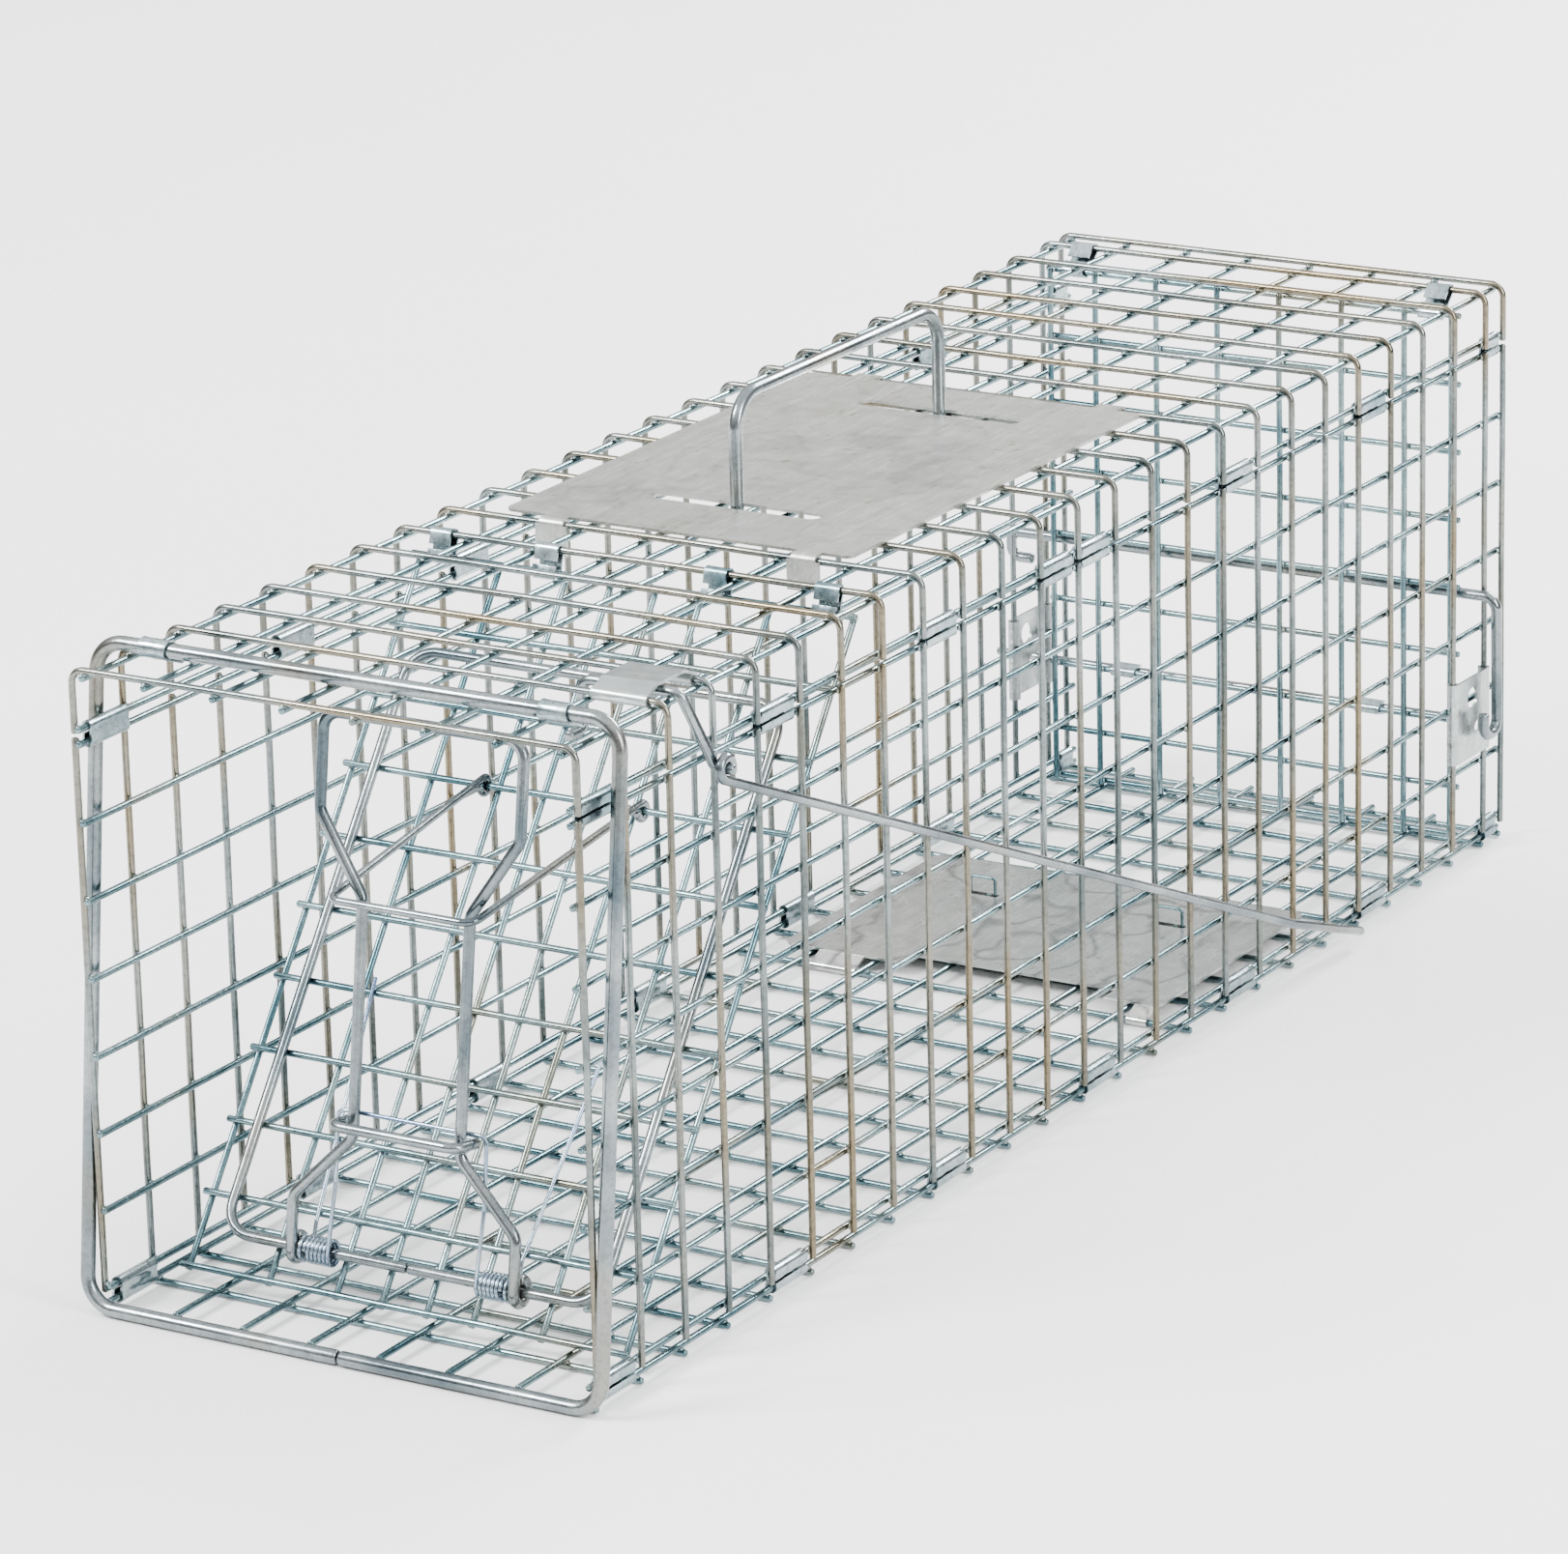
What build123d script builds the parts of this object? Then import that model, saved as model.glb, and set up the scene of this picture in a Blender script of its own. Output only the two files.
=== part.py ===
from build123d import *
import math
import os

# Live catch trap: a folding cage of welded wire mesh with a sloping drop door at the front,
# a lock frame that braces the door shut, a treadle with an outside trigger rod, a carrying
# handle, and a rear door kept shut by a lock rod and a bail.
#
# All lengths are millimetres. X is the width, Y runs from the front opening to the rear and Z
# is up. Dimensions are first stated from the middle of the front wire at floor level; the last
# step moves the whole trap so that its box is centred on the origin and stands on Z = 0.

# ---------------------------------------------------------------- driving dimensions
PITCH = 25.4                        # one-inch mesh
CELLS_WIDE = 7
CELLS_LONG = 24
END_CELL = 0.57                     # the last, short cell at the rear
WIRE = 2.3                          # mesh wire
BITE = 0.05                         # how far crossing wires are pressed together by the weld
LAYER = WIRE - BITE                 # distance between two crossing layers of wire
STUB = 1.7                          # how far a wire runs past the last one it crosses
HALF_WIDTH = CELLS_WIDE * PITCH / 2
LENGTH = (CELLS_LONG + END_CELL) * PITCH
WIRE_ROWS = [k * PITCH for k in range(CELLS_LONG + 1)] + [LENGTH]
SIDE_WIRE_X = HALF_WIDTH + LAYER    # upright wires, outside the side panels

SIDE_ROWS = 8
SIDE_BASE = 7.0                     # height of the lowest horizontal wire of a side panel
SIDE_TOP = SIDE_BASE + (SIDE_ROWS - 1) * PITCH
TOP_Z = 208.5                       # transverse wires of the top cover
TOP_UNDER_Z = TOP_Z - LAYER
FLANGE_Z = 189.5                    # wire along the lower edge of the top cover's turned-down sides
FLANGE_BEND = 4.5
TOP_EDGE_X = SIDE_WIRE_X - FLANGE_BEND

SHEET = 0.8                         # zinc-coated strip used for clips
PLATE = 1.0                         # plate used for the latch, padlock and handle plates
FIT = 0.05                          # radial clearance of a wire turning in a clip or an eye
GAP = 0.3                           # clearance between pieces that pass each other

CLIP_CELLS = [0, 4, 8, 12, 16, 20]
SEAM_CLIP = 19.0
REAR_SEAM_CLIP = 9.0
DOUBLE_CLIP_CELL = 11

# Front door
DOOR_SLOPE = 53.4                   # degrees above the horizontal
DOOR_HINGE_Y = 175.3
DOOR_HINGE_Z = 201.2
DOOR_PITCH = 24.4
DOOR_ROWS = 11
DOOR_HALF = 83.5
DOOR_BARS = [8.4, 25.4, 50.8, 81.3]
DOOR_CLIP_X = [31.7, 72.4]
DOOR_CLIP = 8.4
DOOR_CLIP_ROW = 7                   # transverse wire of the top that the door hangs from

FRAME_WIRE = 3.5
FRAME_HALF = 69.85
FRAME_TOP = 33.0                    # down-slope distance of the frame's upper bar
FRAME_BEND = 10.0
FRAME_LIFT = (WIRE + FRAME_WIRE) / 2 - BITE
LOCK_AXIS = 9.5 * DOOR_PITCH        # down-slope distance of the lower bar, midway between two rows

# Lock frame
LOCK_WIRE = 3.8
LOCK_EYE_X = 41.4
LOCK_LENGTH = 172.0
LOCK_WAIST = 19.8
LOCK_SHOULDER = 36.8
LOCK_OPEN = 28.5                    # degrees between the lock frame and the closed door
LOCK_EYE = FRAME_WIRE / 2 + FIT + LOCK_WIRE / 2
LOCK_OUTLINE = [(LOCK_EYE_X, 17.6), (LOCK_WAIST, 39.2), (LOCK_WAIST, 115.4), (LOCK_SHOULDER, 140.8)]

TIE_WIRE = 3.5
TIE_HEIGHT = 44.0
TIE_REACH = 8.0

SPRING_WIRE = 1.4
SPRING_RADIUS = 3.9
SPRING_TURNS = 6
SPRING_PITCH = 1.5
SPRING_INNER_X = 27.6
BAIL_HEIGHT = 46.8
BAIL_BAR_X = 23.0
SPRING_LEG_X = 38.3
SPRING_LEG_END = 90.0

# Guide loop
LOOP_WIRE = 2.6
LOOP_ROW = 3
LOOP_ANGLE = 46.0                   # degrees between the loop and the closed door
LOOP_LENGTH = 94.0
LOOP_EYE_X = 29.5
LOOP_BAR_X = 26.5
LOOP_EYE = WIRE / 2 + FIT + LOOP_WIRE / 2

# Front hoop
HOOP_WIRE = 4.8
HOOP_HALF = SIDE_WIRE_X + WIRE / 2 + HOOP_WIRE / 2 + GAP
HOOP_TOP_Y = 19.0
HOOP_TOP_Z = TOP_Z + WIRE / 2 + HOOP_WIRE / 2 + GAP
HOOP_FOOT_Y = -(STUB + HOOP_WIRE / 2 + GAP)
HOOP_FOOT_Z = (HOOP_WIRE - WIRE) / 2
HOOP_BEND = 10.0
HOOP_CLIP_X = [-72.5, 72.5]
HOOP_CLIP = 10.0
HOOP_CLIP_ROW = 1

# Latch on the right of the top
LATCH_X = (65.2, 84.9)
LATCH_Z = 212.3
CRANK_WIRE = 3.5
CRANK_Y = 59.0
CRANK_Z = TOP_UNDER_Z + (WIRE + CRANK_WIRE) / 2 + GAP
CRANK_ELBOW_X = 90.5
CRANK_ARM_X = 97.5
CRANK_INNER_X = 56.0
CATCH_DROP = 16.0
CATCH_HOOK = 9.0
CRANK_PIN_Y = 66.5
CRANK_PIN_Z = 185.2
CRANK_PIN_END = 104.6

ROD_WIRE = 3.2
ROD_X = 101.4
ROD_EYE = CRANK_WIRE / 2 + FIT + ROD_WIRE / 2
ROD_KNEE = (436.4, 23.4)
ROD_TIP = (490.0, 4.4)

# Treadle
TREADLE_X = 75.5
TREADLE_Y = (386.5, 498.0)
TREADLE_Z = 3.7
TREADLE_SHEET = 0.9
TREADLE_NOTCH = (-28.0, 54.0)
TREADLE_NOTCH_DEPTH = 9.0
TREADLE_TABS = [(-60.0, -42.0), (66.5, 74.5)]
TREADLE_ROW = 15
TREADLE_LINK_X = 38.1
TREADLE_LINK_Y = 464.8
LINK_WIRE = 1.2
LINK_HALF = 5.0
LINK_LOW = 0.3
LINK_HIGH = 11.0
LINK_SLOT = (13.0, 3.2)

# Handle
HANDLE_PLATE_X = (-67.3, 63.5)
HANDLE_PLATE_Y = (206.0, 401.0)
HANDLE_ROWS = (8, 16)
HANDLE_TABS = [(-51.0, -42.0), (44.0, 53.0)]
HANDLE_TAIL = 10.0
HANDLE_TAIL_FLARE = 1.5
HANDLE_WIRE = 4.6
HANDLE_AXIS_Z = 206.8
HANDLE_LEGS = (241.3, 373.4)
HANDLE_TOE = 8.6
HANDLE_TOP_Z = 247.0
HANDLE_BEND = 12.0
HANDLE_TOE_BEND = 3.6
HANDLE_SLOT = (63.0, 7.0)

# Rear door
REAR_Y = 602.0
REAR_HINGE_Z = 201.2
REAR_FOOT_Z = 4.9
REAR_HALF = 85.0
REAR_BARS = [12.7, 38.1, 63.5, 82.4]
REAR_CLIP_X = [-73.0, 73.0]
REAR_CLIP = 9.0
SLEEVE_ROW = 6
SLEEVE_X = [-54.0, 48.0]
SLEEVE = 10.0

LOCK_ROD_WIRE = 3.0
LOCK_ROD_X = (-110.0, 86.0)
LOCK_ROD_Y = REAR_Y + WIRE / 2 + LOCK_ROD_WIRE / 2 + GAP

BAIL_WIRE = 4.0
BAIL_Y = REAR_Y + WIRE / 2 + BAIL_WIRE / 2 + 0.65
BAIL_Z = 96.5
BAIL_LEFT_X = -104.0
BAIL_RIGHT_X = 98.0
BAIL_FOOT_Z = 46.0
BAIL_HOOK = 9.0
BAIL_BEND = 5.0

PADLOCK_Z = (38.0, 68.5)
PADLOCK_HOLE_Z = 60.6
PADLOCK_HOLE_Y = 596.0
PADLOCK_HOLE_R = 4.0
PADLOCK_SLOT = (9.0, 4.2)


# ---------------------------------------------------------------- building blocks
def rod(start, end, diameter):
    """A straight wire between two points."""
    start = Vector(start)
    run = Vector(end) - start
    return Solid.make_cylinder(diameter / 2, run.length, Plane(origin=start, z_dir=run))


def swept(path, diameter):
    """A round wire that follows a path."""
    section = Plane(origin=path @ 0, z_dir=path % 0) * Circle(diameter / 2)
    return sweep(section, path=path).solid()


def bent(points, diameter, radius):
    """A wire bent at each corner of a row of points."""
    return swept(FilletPolyline(*[Vector(p) for p in points], radius=radius), diameter)


def placed(plane, points):
    """Points given along a tilted plane, as points in the trap's own axes."""
    return [plane.from_local_coords(Vector(p)) for p in points]


def tilted(y, z, angle):
    """A plane through (0, y, z) whose second axis rises rearward at the given angle."""
    turn = math.radians(angle)
    return Plane(origin=(0, y, z), x_dir=(1, 0, 0), z_dir=(0, -math.sin(turn), math.cos(turn)))


def eye(plane, x, radius, diameter, start, sweep_angle):
    """A wire turned round an axis along X; the angle is measured from the plane's second axis."""
    centre = plane.from_local_coords(Vector(x, 0, 0))
    across = Plane(origin=centre, x_dir=plane.y_dir, z_dir=plane.x_dir)
    arc = CenterArc((0, 0), radius, start, sweep_angle)
    return swept(across * arc, diameter)


def crimp(plane, first, second, length):
    """A folded strip closed round two parallel wires, each given as (u, v, wire radius)."""
    rims = [Pos(u, v) * Circle(r + FIT + SHEET) for u, v, r in (first, second)]
    profile = make_hull(rims[0].edges() + rims[1].edges())
    for u, v, r in (first, second):
        profile -= Pos(u, v) * Circle(r + FIT)
    return extrude(plane * profile, amount=length / 2, both=True).solid()


def along_x(x):
    """Section plane for pieces that run along X: its axes are Y and Z."""
    return Plane(origin=(x, 0, 0), x_dir=(0, 1, 0), z_dir=(1, 0, 0))


def along_y(y):
    """Section plane for pieces that run along Y: its axes are X and Z."""
    return Plane(origin=(0, y, 0), x_dir=(1, 0, 0), z_dir=(0, -1, 0))


def rim(y, z):
    """Section of a strip rolled round a mesh wire along X."""
    inner = WIRE / 2 + FIT
    return Pos(y, z) * (Circle(inner + PLATE) - Circle(inner))


def strip(points, thickness):
    """Section of a folded strip that follows a row of points."""
    return trace(Polyline(*points), thickness)


DOOR = tilted(DOOR_HINGE_Y, DOOR_HINGE_Z, DOOR_SLOPE)
LOCK_PIVOT = DOOR.from_local_coords(Vector(0, -LOCK_AXIS, FRAME_LIFT))
LOCK = tilted(LOCK_PIVOT.Y, LOCK_PIVOT.Z, DOOR_SLOPE + LOCK_OPEN)
LOOP_PIVOT = DOOR.from_local_coords(Vector(0, -LOOP_ROW * DOOR_PITCH, 0))
LOOP = tilted(LOOP_PIVOT.Y, LOOP_PIVOT.Z, DOOR_SLOPE - LOOP_ANGLE)


# ---------------------------------------------------------------- cage
def floor_panel():
    """Transverse wires underneath, lengthwise wires on top."""
    reach = HALF_WIDTH + WIRE
    wires = [rod((-reach, y, 0), (reach, y, 0), WIRE) for y in WIRE_ROWS]
    for k in range(CELLS_WIDE + 1):
        x = k * PITCH - HALF_WIDTH
        wires.append(rod((x, -STUB, LAYER), (x, LENGTH + STUB, LAYER), WIRE))
    return wires


def side_panel(side):
    """Horizontal wires inside, upright wires outside."""
    x = side * HALF_WIDTH
    outer = side * SIDE_WIRE_X
    wires = []
    for k in range(SIDE_ROWS):
        z = SIDE_BASE + k * PITCH
        wires.append(rod((x, -STUB, z), (x, LENGTH + STUB, z), WIRE))
    for y in WIRE_ROWS:
        wires.append(rod((outer, y, SIDE_BASE - WIRE), (outer, y, SIDE_TOP + STUB), WIRE))
    return wires


def top_cover():
    """Transverse wires whose ends are bent down over the sides, lengthwise wires beneath."""
    solids = []
    for y in WIRE_ROWS:
        solids.append(rod((-TOP_EDGE_X, y, TOP_Z), (TOP_EDGE_X, y, TOP_Z), WIRE))
        for side in (-1, 1):
            arc = CenterArc((0, -FLANGE_BEND), FLANGE_BEND, 90, -90)
            drop = Line(arc @ 1, (FLANGE_BEND, FLANGE_Z - WIRE * 0.7 - TOP_Z))
            plane = Plane(origin=(side * TOP_EDGE_X, y, TOP_Z), x_dir=(side, 0, 0), z_dir=(0, -side, 0))
            solids.append(swept(plane * (arc + drop), WIRE))
    inner = [k * PITCH - HALF_WIDTH for k in range(1, CELLS_WIDE)]
    for x in inner + [-TOP_EDGE_X, TOP_EDGE_X]:
        solids.append(rod((x, -STUB, TOP_UNDER_Z), (x, LENGTH + STUB, TOP_UNDER_Z), WIRE))
    for x in (-HALF_WIDTH, HALF_WIDTH):
        solids.append(rod((x, -STUB, FLANGE_Z), (x, LENGTH + STUB, FLANGE_Z), WIRE))
    return solids


def seam_clips(side, upper, lower, extra_cells):
    """Crimped strips that join two panels along an edge and let them fold."""
    x = side * HALF_WIDTH
    first = (x, upper, WIRE / 2)
    second = (x, lower, WIRE / 2)
    clips = []
    for cell in CLIP_CELLS + extra_cells:
        clips.append(crimp(along_y((cell + 0.5) * PITCH), first, second, SEAM_CLIP))
    rear = (CELLS_LONG + END_CELL / 2) * PITCH
    clips.append(crimp(along_y(rear), first, second, REAR_SEAM_CLIP))
    return clips


def clips_on_top(places, row, held, length):
    """Crimped strips that hold a wire along X to a transverse wire of the top cover."""
    above = (WIRE_ROWS[row], TOP_Z, WIRE / 2)
    return [crimp(along_x(x), above, held, length) for x in places]


# ---------------------------------------------------------------- front hoop
def front_hoop():
    """Heavy wire round the front end, its ends butted in the middle of the lower bar."""
    half = HOOP_HALF
    foot = HOOP_FOOT_Y
    low = HOOP_FOOT_Z
    points = [(GAP, foot, low), (half, foot, low), (half, HOOP_TOP_Y, HOOP_TOP_Z)]
    points += [(-x, y, z) for x, y, z in reversed(points)]
    return [bent(points, HOOP_WIRE, HOOP_BEND)]


# ---------------------------------------------------------------- front door
def front_door_mesh():
    """Rows on the front face, down-slope wires behind them."""
    wires = []
    for k in range(DOOR_ROWS):
        down = -k * DOOR_PITCH
        wires.append(rod(*placed(DOOR, [(-DOOR_HALF, down, 0), (DOOR_HALF, down, 0)]), WIRE))
    foot = -(DOOR_ROWS - 1) * DOOR_PITCH - WIRE / 2
    for x in [side * bar for bar in DOOR_BARS for side in (-1, 1)]:
        wires.append(rod(*placed(DOOR, [(x, WIRE / 2, -LAYER), (x, foot, -LAYER)]), WIRE))
    return wires


def door_frame():
    """Stiffening wire on the front face, its ends butted in the middle of the lower bar."""
    half = FRAME_HALF
    points = [(GAP, -LOCK_AXIS), (half, -LOCK_AXIS), (half, -FRAME_TOP)]
    points += [(-x, y) for x, y in reversed(points)]
    return [bent(placed(DOOR, [(x, y, FRAME_LIFT) for x, y in points]), FRAME_WIRE, FRAME_BEND)]


def lock_frame():
    """Bottle-shaped wire that turns on the door frame's lower bar by an eye on each leg."""
    right = [(LOCK_EYE_X, 0)] + LOCK_OUTLINE + [(LOCK_SHOULDER, LOCK_LENGTH)]
    outline = right + [(-x, y) for x, y in reversed(right)]
    wire = bent(placed(LOCK, [(x, y, LOCK_EYE) for x, y in outline]), LOCK_WIRE, LOCK_WIRE * 1.6)
    for x in (-LOCK_EYE_X, LOCK_EYE_X):
        wire += eye(LOCK, x, LOCK_EYE, LOCK_WIRE, 90, 290)
    return wire.solids()


def lock_tie():
    """Thick wire bent into a U that holds the lock frame's legs together at the waist."""
    x = LOCK_WAIST + (LOCK_WIRE + TIE_WIRE) / 2 - BITE
    back = LOCK_EYE - LOCK_WIRE
    front = LOCK_EYE + TIE_REACH
    points = [(-x, back), (-x, front), (x, front), (x, back)]
    return [bent(placed(LOCK, [(a, TIE_HEIGHT, n) for a, n in points]), TIE_WIRE, TIE_WIRE * 1.2)]


def lock_spring():
    """Two coils on the frame's lower bar, joined by a bail that pushes the lock frame out."""
    rise = LOCK_EYE - (LOCK_WIRE + SPRING_WIRE) / 2 - BITE
    inner = SPRING_INNER_X
    knee = rise - 0.2
    bail = [(-inner, 0, SPRING_RADIUS), (-inner, BAIL_HEIGHT / 2, knee), (-inner, BAIL_HEIGHT, rise)]
    bail += [(-x, y, n) for x, y, n in reversed(bail)]
    crossbar = bent(placed(LOCK, bail), SPRING_WIRE, SPRING_WIRE * 2)
    solids = []
    for side in (-1, 1):
        cut = Plane(origin=(side * BAIL_BAR_X, 0, 0), z_dir=(side, 0, 0))
        solids += split(crossbar, bisect_by=cut, keep=Keep.TOP).solids()
        crossbar = split(crossbar, bisect_by=cut, keep=Keep.BOTTOM)
        start = LOCK.from_local_coords(Vector(side * inner, 0, 0))
        turn = Plane(origin=start, x_dir=LOCK.z_dir, z_dir=(side, 0, 0))
        run = SPRING_TURNS * SPRING_PITCH
        path = turn * Helix(SPRING_PITCH, run, SPRING_RADIUS, lefthand=side < 0)
        section = Plane(origin=path @ 0, z_dir=path % 0) * Circle(SPRING_WIRE / 2)
        solids.append(sweep(section, path=path, is_frenet=True).solid())
    return solids + crossbar.solids()


def lock_spring_legs():
    """The spring's outer ends, which turn off the coils and lie up the door."""
    pivot = tilted(LOCK_PIVOT.Y, LOCK_PIVOT.Z, DOOR_SLOPE)
    lift = (WIRE + SPRING_WIRE) / 2 - FRAME_LIFT + 0.1
    legs = []
    for side in (-1, 1):
        x = side * SPRING_LEG_X
        points = [(x, 0, -SPRING_RADIUS), (x, 9.4, lift), (x * 1.18, SPRING_LEG_END, lift)]
        leg = bent(placed(pivot, points), SPRING_WIRE, SPRING_WIRE * 2)
        leg += eye(pivot, x, SPRING_RADIUS, SPRING_WIRE, -90, -250)
        legs += leg.solids()
    return legs


def guide_loop():
    """Light wire loop hung on a door row; it lies in front of the lock frame's waist."""
    right = [(LOOP_EYE_X, 0), (LOOP_BAR_X, -LOOP_LENGTH)]
    outline = right + [(-x, y) for x, y in reversed(right)]
    wire = bent(placed(LOOP, [(x, y, LOOP_EYE) for x, y in outline]), LOOP_WIRE, LOOP_WIRE * 1.8)
    for x in (-LOOP_EYE_X, LOOP_EYE_X):
        wire += eye(LOOP, x, LOOP_EYE, LOOP_WIRE, 90, -290)
    return wire.solids()


# ---------------------------------------------------------------- trigger
def latch_plate():
    """Folded plate tunnel rolled round two transverse wires; the crank turns under it."""
    front = WIRE_ROWS[2]
    rear = WIRE_ROWS[3]
    knee = 5.0
    skin = TOP_Z + WIRE / 2 + FIT + PLATE / 2
    line = [(front, skin), (front + knee, LATCH_Z), (rear - knee, LATCH_Z), (rear, skin)]
    section = rim(front, TOP_Z) + rim(rear, TOP_Z) + strip(line, PLATE)
    section -= Pos(front, TOP_Z) * Circle(WIRE / 2 + FIT)
    section -= Pos(rear, TOP_Z) * Circle(WIRE / 2 + FIT)
    return extrude(along_x(LATCH_X[0]) * section, amount=LATCH_X[1] - LATCH_X[0]).solids()


def latch_crank():
    """Catch inside the cage, shaft under the latch plate, arm and pin outside."""
    points = [
        (CRANK_INNER_X, CRANK_Y - CATCH_HOOK, CRANK_Z - CATCH_DROP),
        (CRANK_INNER_X, CRANK_Y, CRANK_Z - CATCH_DROP),
        (CRANK_INNER_X, CRANK_Y, CRANK_Z),
        (CRANK_ELBOW_X, CRANK_Y, CRANK_Z),
        (CRANK_ARM_X, CRANK_PIN_Y, CRANK_PIN_Z),
        (CRANK_PIN_END, CRANK_PIN_Y, CRANK_PIN_Z),
    ]
    return [bent(points, CRANK_WIRE, [3.6, 3.6, 3.6, 2.0])]


def trigger_rod():
    """Long rod outside the right panel, hung on the crank's pin by an eye."""
    dy = ROD_KNEE[0] - CRANK_PIN_Y
    dz = ROD_KNEE[1] - CRANK_PIN_Z
    angle = math.degrees(math.atan2(dz, dy))
    plane = tilted(CRANK_PIN_Y, CRANK_PIN_Z, angle)
    start = plane.from_local_coords(Vector(ROD_X, 0, -ROD_EYE))
    points = [start, Vector(ROD_X, *ROD_KNEE), Vector(ROD_X, *ROD_TIP)]
    wire = bent(points, ROD_WIRE, 20)
    wire += eye(plane, ROD_X, ROD_EYE, ROD_WIRE, -90, -290)
    return wire.solids()


# ---------------------------------------------------------------- treadle
def treadle_plate():
    """Sheet tread whose front tabs are rolled over a floor wire; two slots clear the links."""
    front, rear = TREADLE_Y
    plate = Pos(0, (front + rear) / 2) * RectangleRounded(2 * TREADLE_X, rear - front, 4)
    notch = Pos(sum(TREADLE_NOTCH) / 2, front)
    plate -= notch * Rectangle(TREADLE_NOTCH[1] - TREADLE_NOTCH[0], 2 * TREADLE_NOTCH_DEPTH)
    for x in (-TREADLE_LINK_X, TREADLE_LINK_X):
        plate -= Pos(x, TREADLE_LINK_Y) * SlotOverall(*LINK_SLOT)
    body = extrude(Pos(0, 0, TREADLE_Z) * plate, amount=TREADLE_SHEET)
    wire_y = WIRE_ROWS[TREADLE_ROW]
    inner = WIRE / 2 + FIT
    middle = TREADLE_Z + TREADLE_SHEET / 2
    for low, high in TREADLE_TABS:
        roll = Pos(wire_y, 0) * (Circle(inner + TREADLE_SHEET) - Circle(inner))
        roll += strip([(wire_y, inner + TREADLE_SHEET / 2), (front + 1, middle)], TREADLE_SHEET)
        roll -= Pos(wire_y, 0) * Circle(inner)
        roll -= Pos(wire_y, -WIRE) * Rectangle(3 * WIRE, 2 * WIRE - 2 * 0.95)
        body += extrude(along_x(low) * roll, amount=high - low)
    return body.solids()


def treadle_links():
    """Wire links round two lengthwise floor wires; their crowns stop the treadle's rise."""
    links = []
    for x in (-TREADLE_LINK_X, TREADLE_LINK_X):
        low = LINK_LOW
        points = [(x + 1, low), (x + LINK_HALF, low), (x + LINK_HALF, LINK_HIGH)]
        points += [(x - LINK_HALF, LINK_HIGH), (x - LINK_HALF, low), (x - 1, low)]
        links.append(bent([(a, TREADLE_LINK_Y, z) for a, z in points], LINK_WIRE, LINK_WIRE))
    return links


# ---------------------------------------------------------------- handle
def handle_plate():
    """Plate on the top cover with two slots for the handle and tabs rolled round two wires.

    The front tabs' tails hang below the wire.
    """
    left, right = HANDLE_PLATE_X
    front, rear = HANDLE_PLATE_Y
    top = TOP_Z + WIRE / 2
    middle = Pos((left + right) / 2, (front + rear) / 2)
    plate = middle * RectangleRounded(right - left, rear - front, 3)
    for y in HANDLE_LEGS:
        plate -= Pos(0, y) * SlotOverall(*HANDLE_SLOT)
    body = extrude(Pos(0, 0, top) * plate, amount=PLATE)
    for row, edge in zip(HANDLE_ROWS, (front, rear)):
        y = WIRE_ROWS[row]
        roll = rim(y, TOP_Z) + strip([(y, top + PLATE / 2), (edge, top + PLATE / 2)], PLATE)
        roll -= Pos(y, TOP_Z) * Circle(WIRE / 2 + FIT)
        for low, high in HANDLE_TABS:
            body += extrude(along_x(low) * roll, amount=high - low)
    hang = WIRE_ROWS[HANDLE_ROWS[0]] - WIRE / 2 - FIT - PLATE / 2
    tail = strip([(hang, TOP_Z), (hang, TOP_Z - HANDLE_TAIL)], PLATE)
    for low, high in HANDLE_TABS:
        wide = high - low + 2 * HANDLE_TAIL_FLARE
        body += extrude(along_x(low - HANDLE_TAIL_FLARE) * tail, amount=wide)
    return body.solids()


def handle():
    """Wire bail; its toes turn under the plate, and it tips to either side in the slots."""
    front, rear = HANDLE_LEGS
    points = [
        (0, front - HANDLE_TOE, HANDLE_AXIS_Z),
        (0, front, HANDLE_AXIS_Z),
        (0, front, HANDLE_TOP_Z),
        (0, rear, HANDLE_TOP_Z),
        (0, rear, HANDLE_AXIS_Z),
        (0, rear + HANDLE_TOE - 2.6, HANDLE_AXIS_Z),
    ]
    radii = [HANDLE_TOE_BEND, HANDLE_BEND, HANDLE_BEND, HANDLE_TOE_BEND]
    return [bent(points, HANDLE_WIRE, radii)]


# ---------------------------------------------------------------- rear door
def rear_door_mesh():
    """Rows at the rear, upright wires on the inner face."""
    rows = [REAR_HINGE_Z - k * PITCH for k in range(8)] + [REAR_FOOT_Z]
    wires = [rod((-REAR_HALF, REAR_Y, z), (REAR_HALF, REAR_Y, z), WIRE) for z in rows]
    y = REAR_Y - LAYER
    for x in [side * bar for bar in REAR_BARS for side in (-1, 1)]:
        wires.append(rod((x, y, REAR_HINGE_Z + WIRE / 2), (x, y, REAR_FOOT_Z - WIRE / 2), WIRE))
    return wires


def rear_door_sleeves():
    """Strips crimped round a row of the rear door, with a cradle open to the rear for the rod."""
    z = REAR_HINGE_Z - SLEEVE_ROW * PITCH
    seat = LOCK_ROD_WIRE / 2 + GAP
    rims = [Pos(REAR_Y, z) * Circle(WIRE / 2 + FIT + SHEET), Pos(LOCK_ROD_Y, z) * Circle(seat + SHEET)]
    section = make_hull(rims[0].edges() + rims[1].edges())
    section -= Pos(REAR_Y, z) * Circle(WIRE / 2 + FIT)
    section -= Pos(LOCK_ROD_Y, z) * Circle(seat)
    section -= Pos(LOCK_ROD_Y + seat + SHEET, z) * Rectangle(2 * (seat + SHEET), 2 * seat)
    return [extrude(along_x(x) * section, amount=SLEEVE / 2, both=True).solid() for x in SLEEVE_X]


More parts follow.
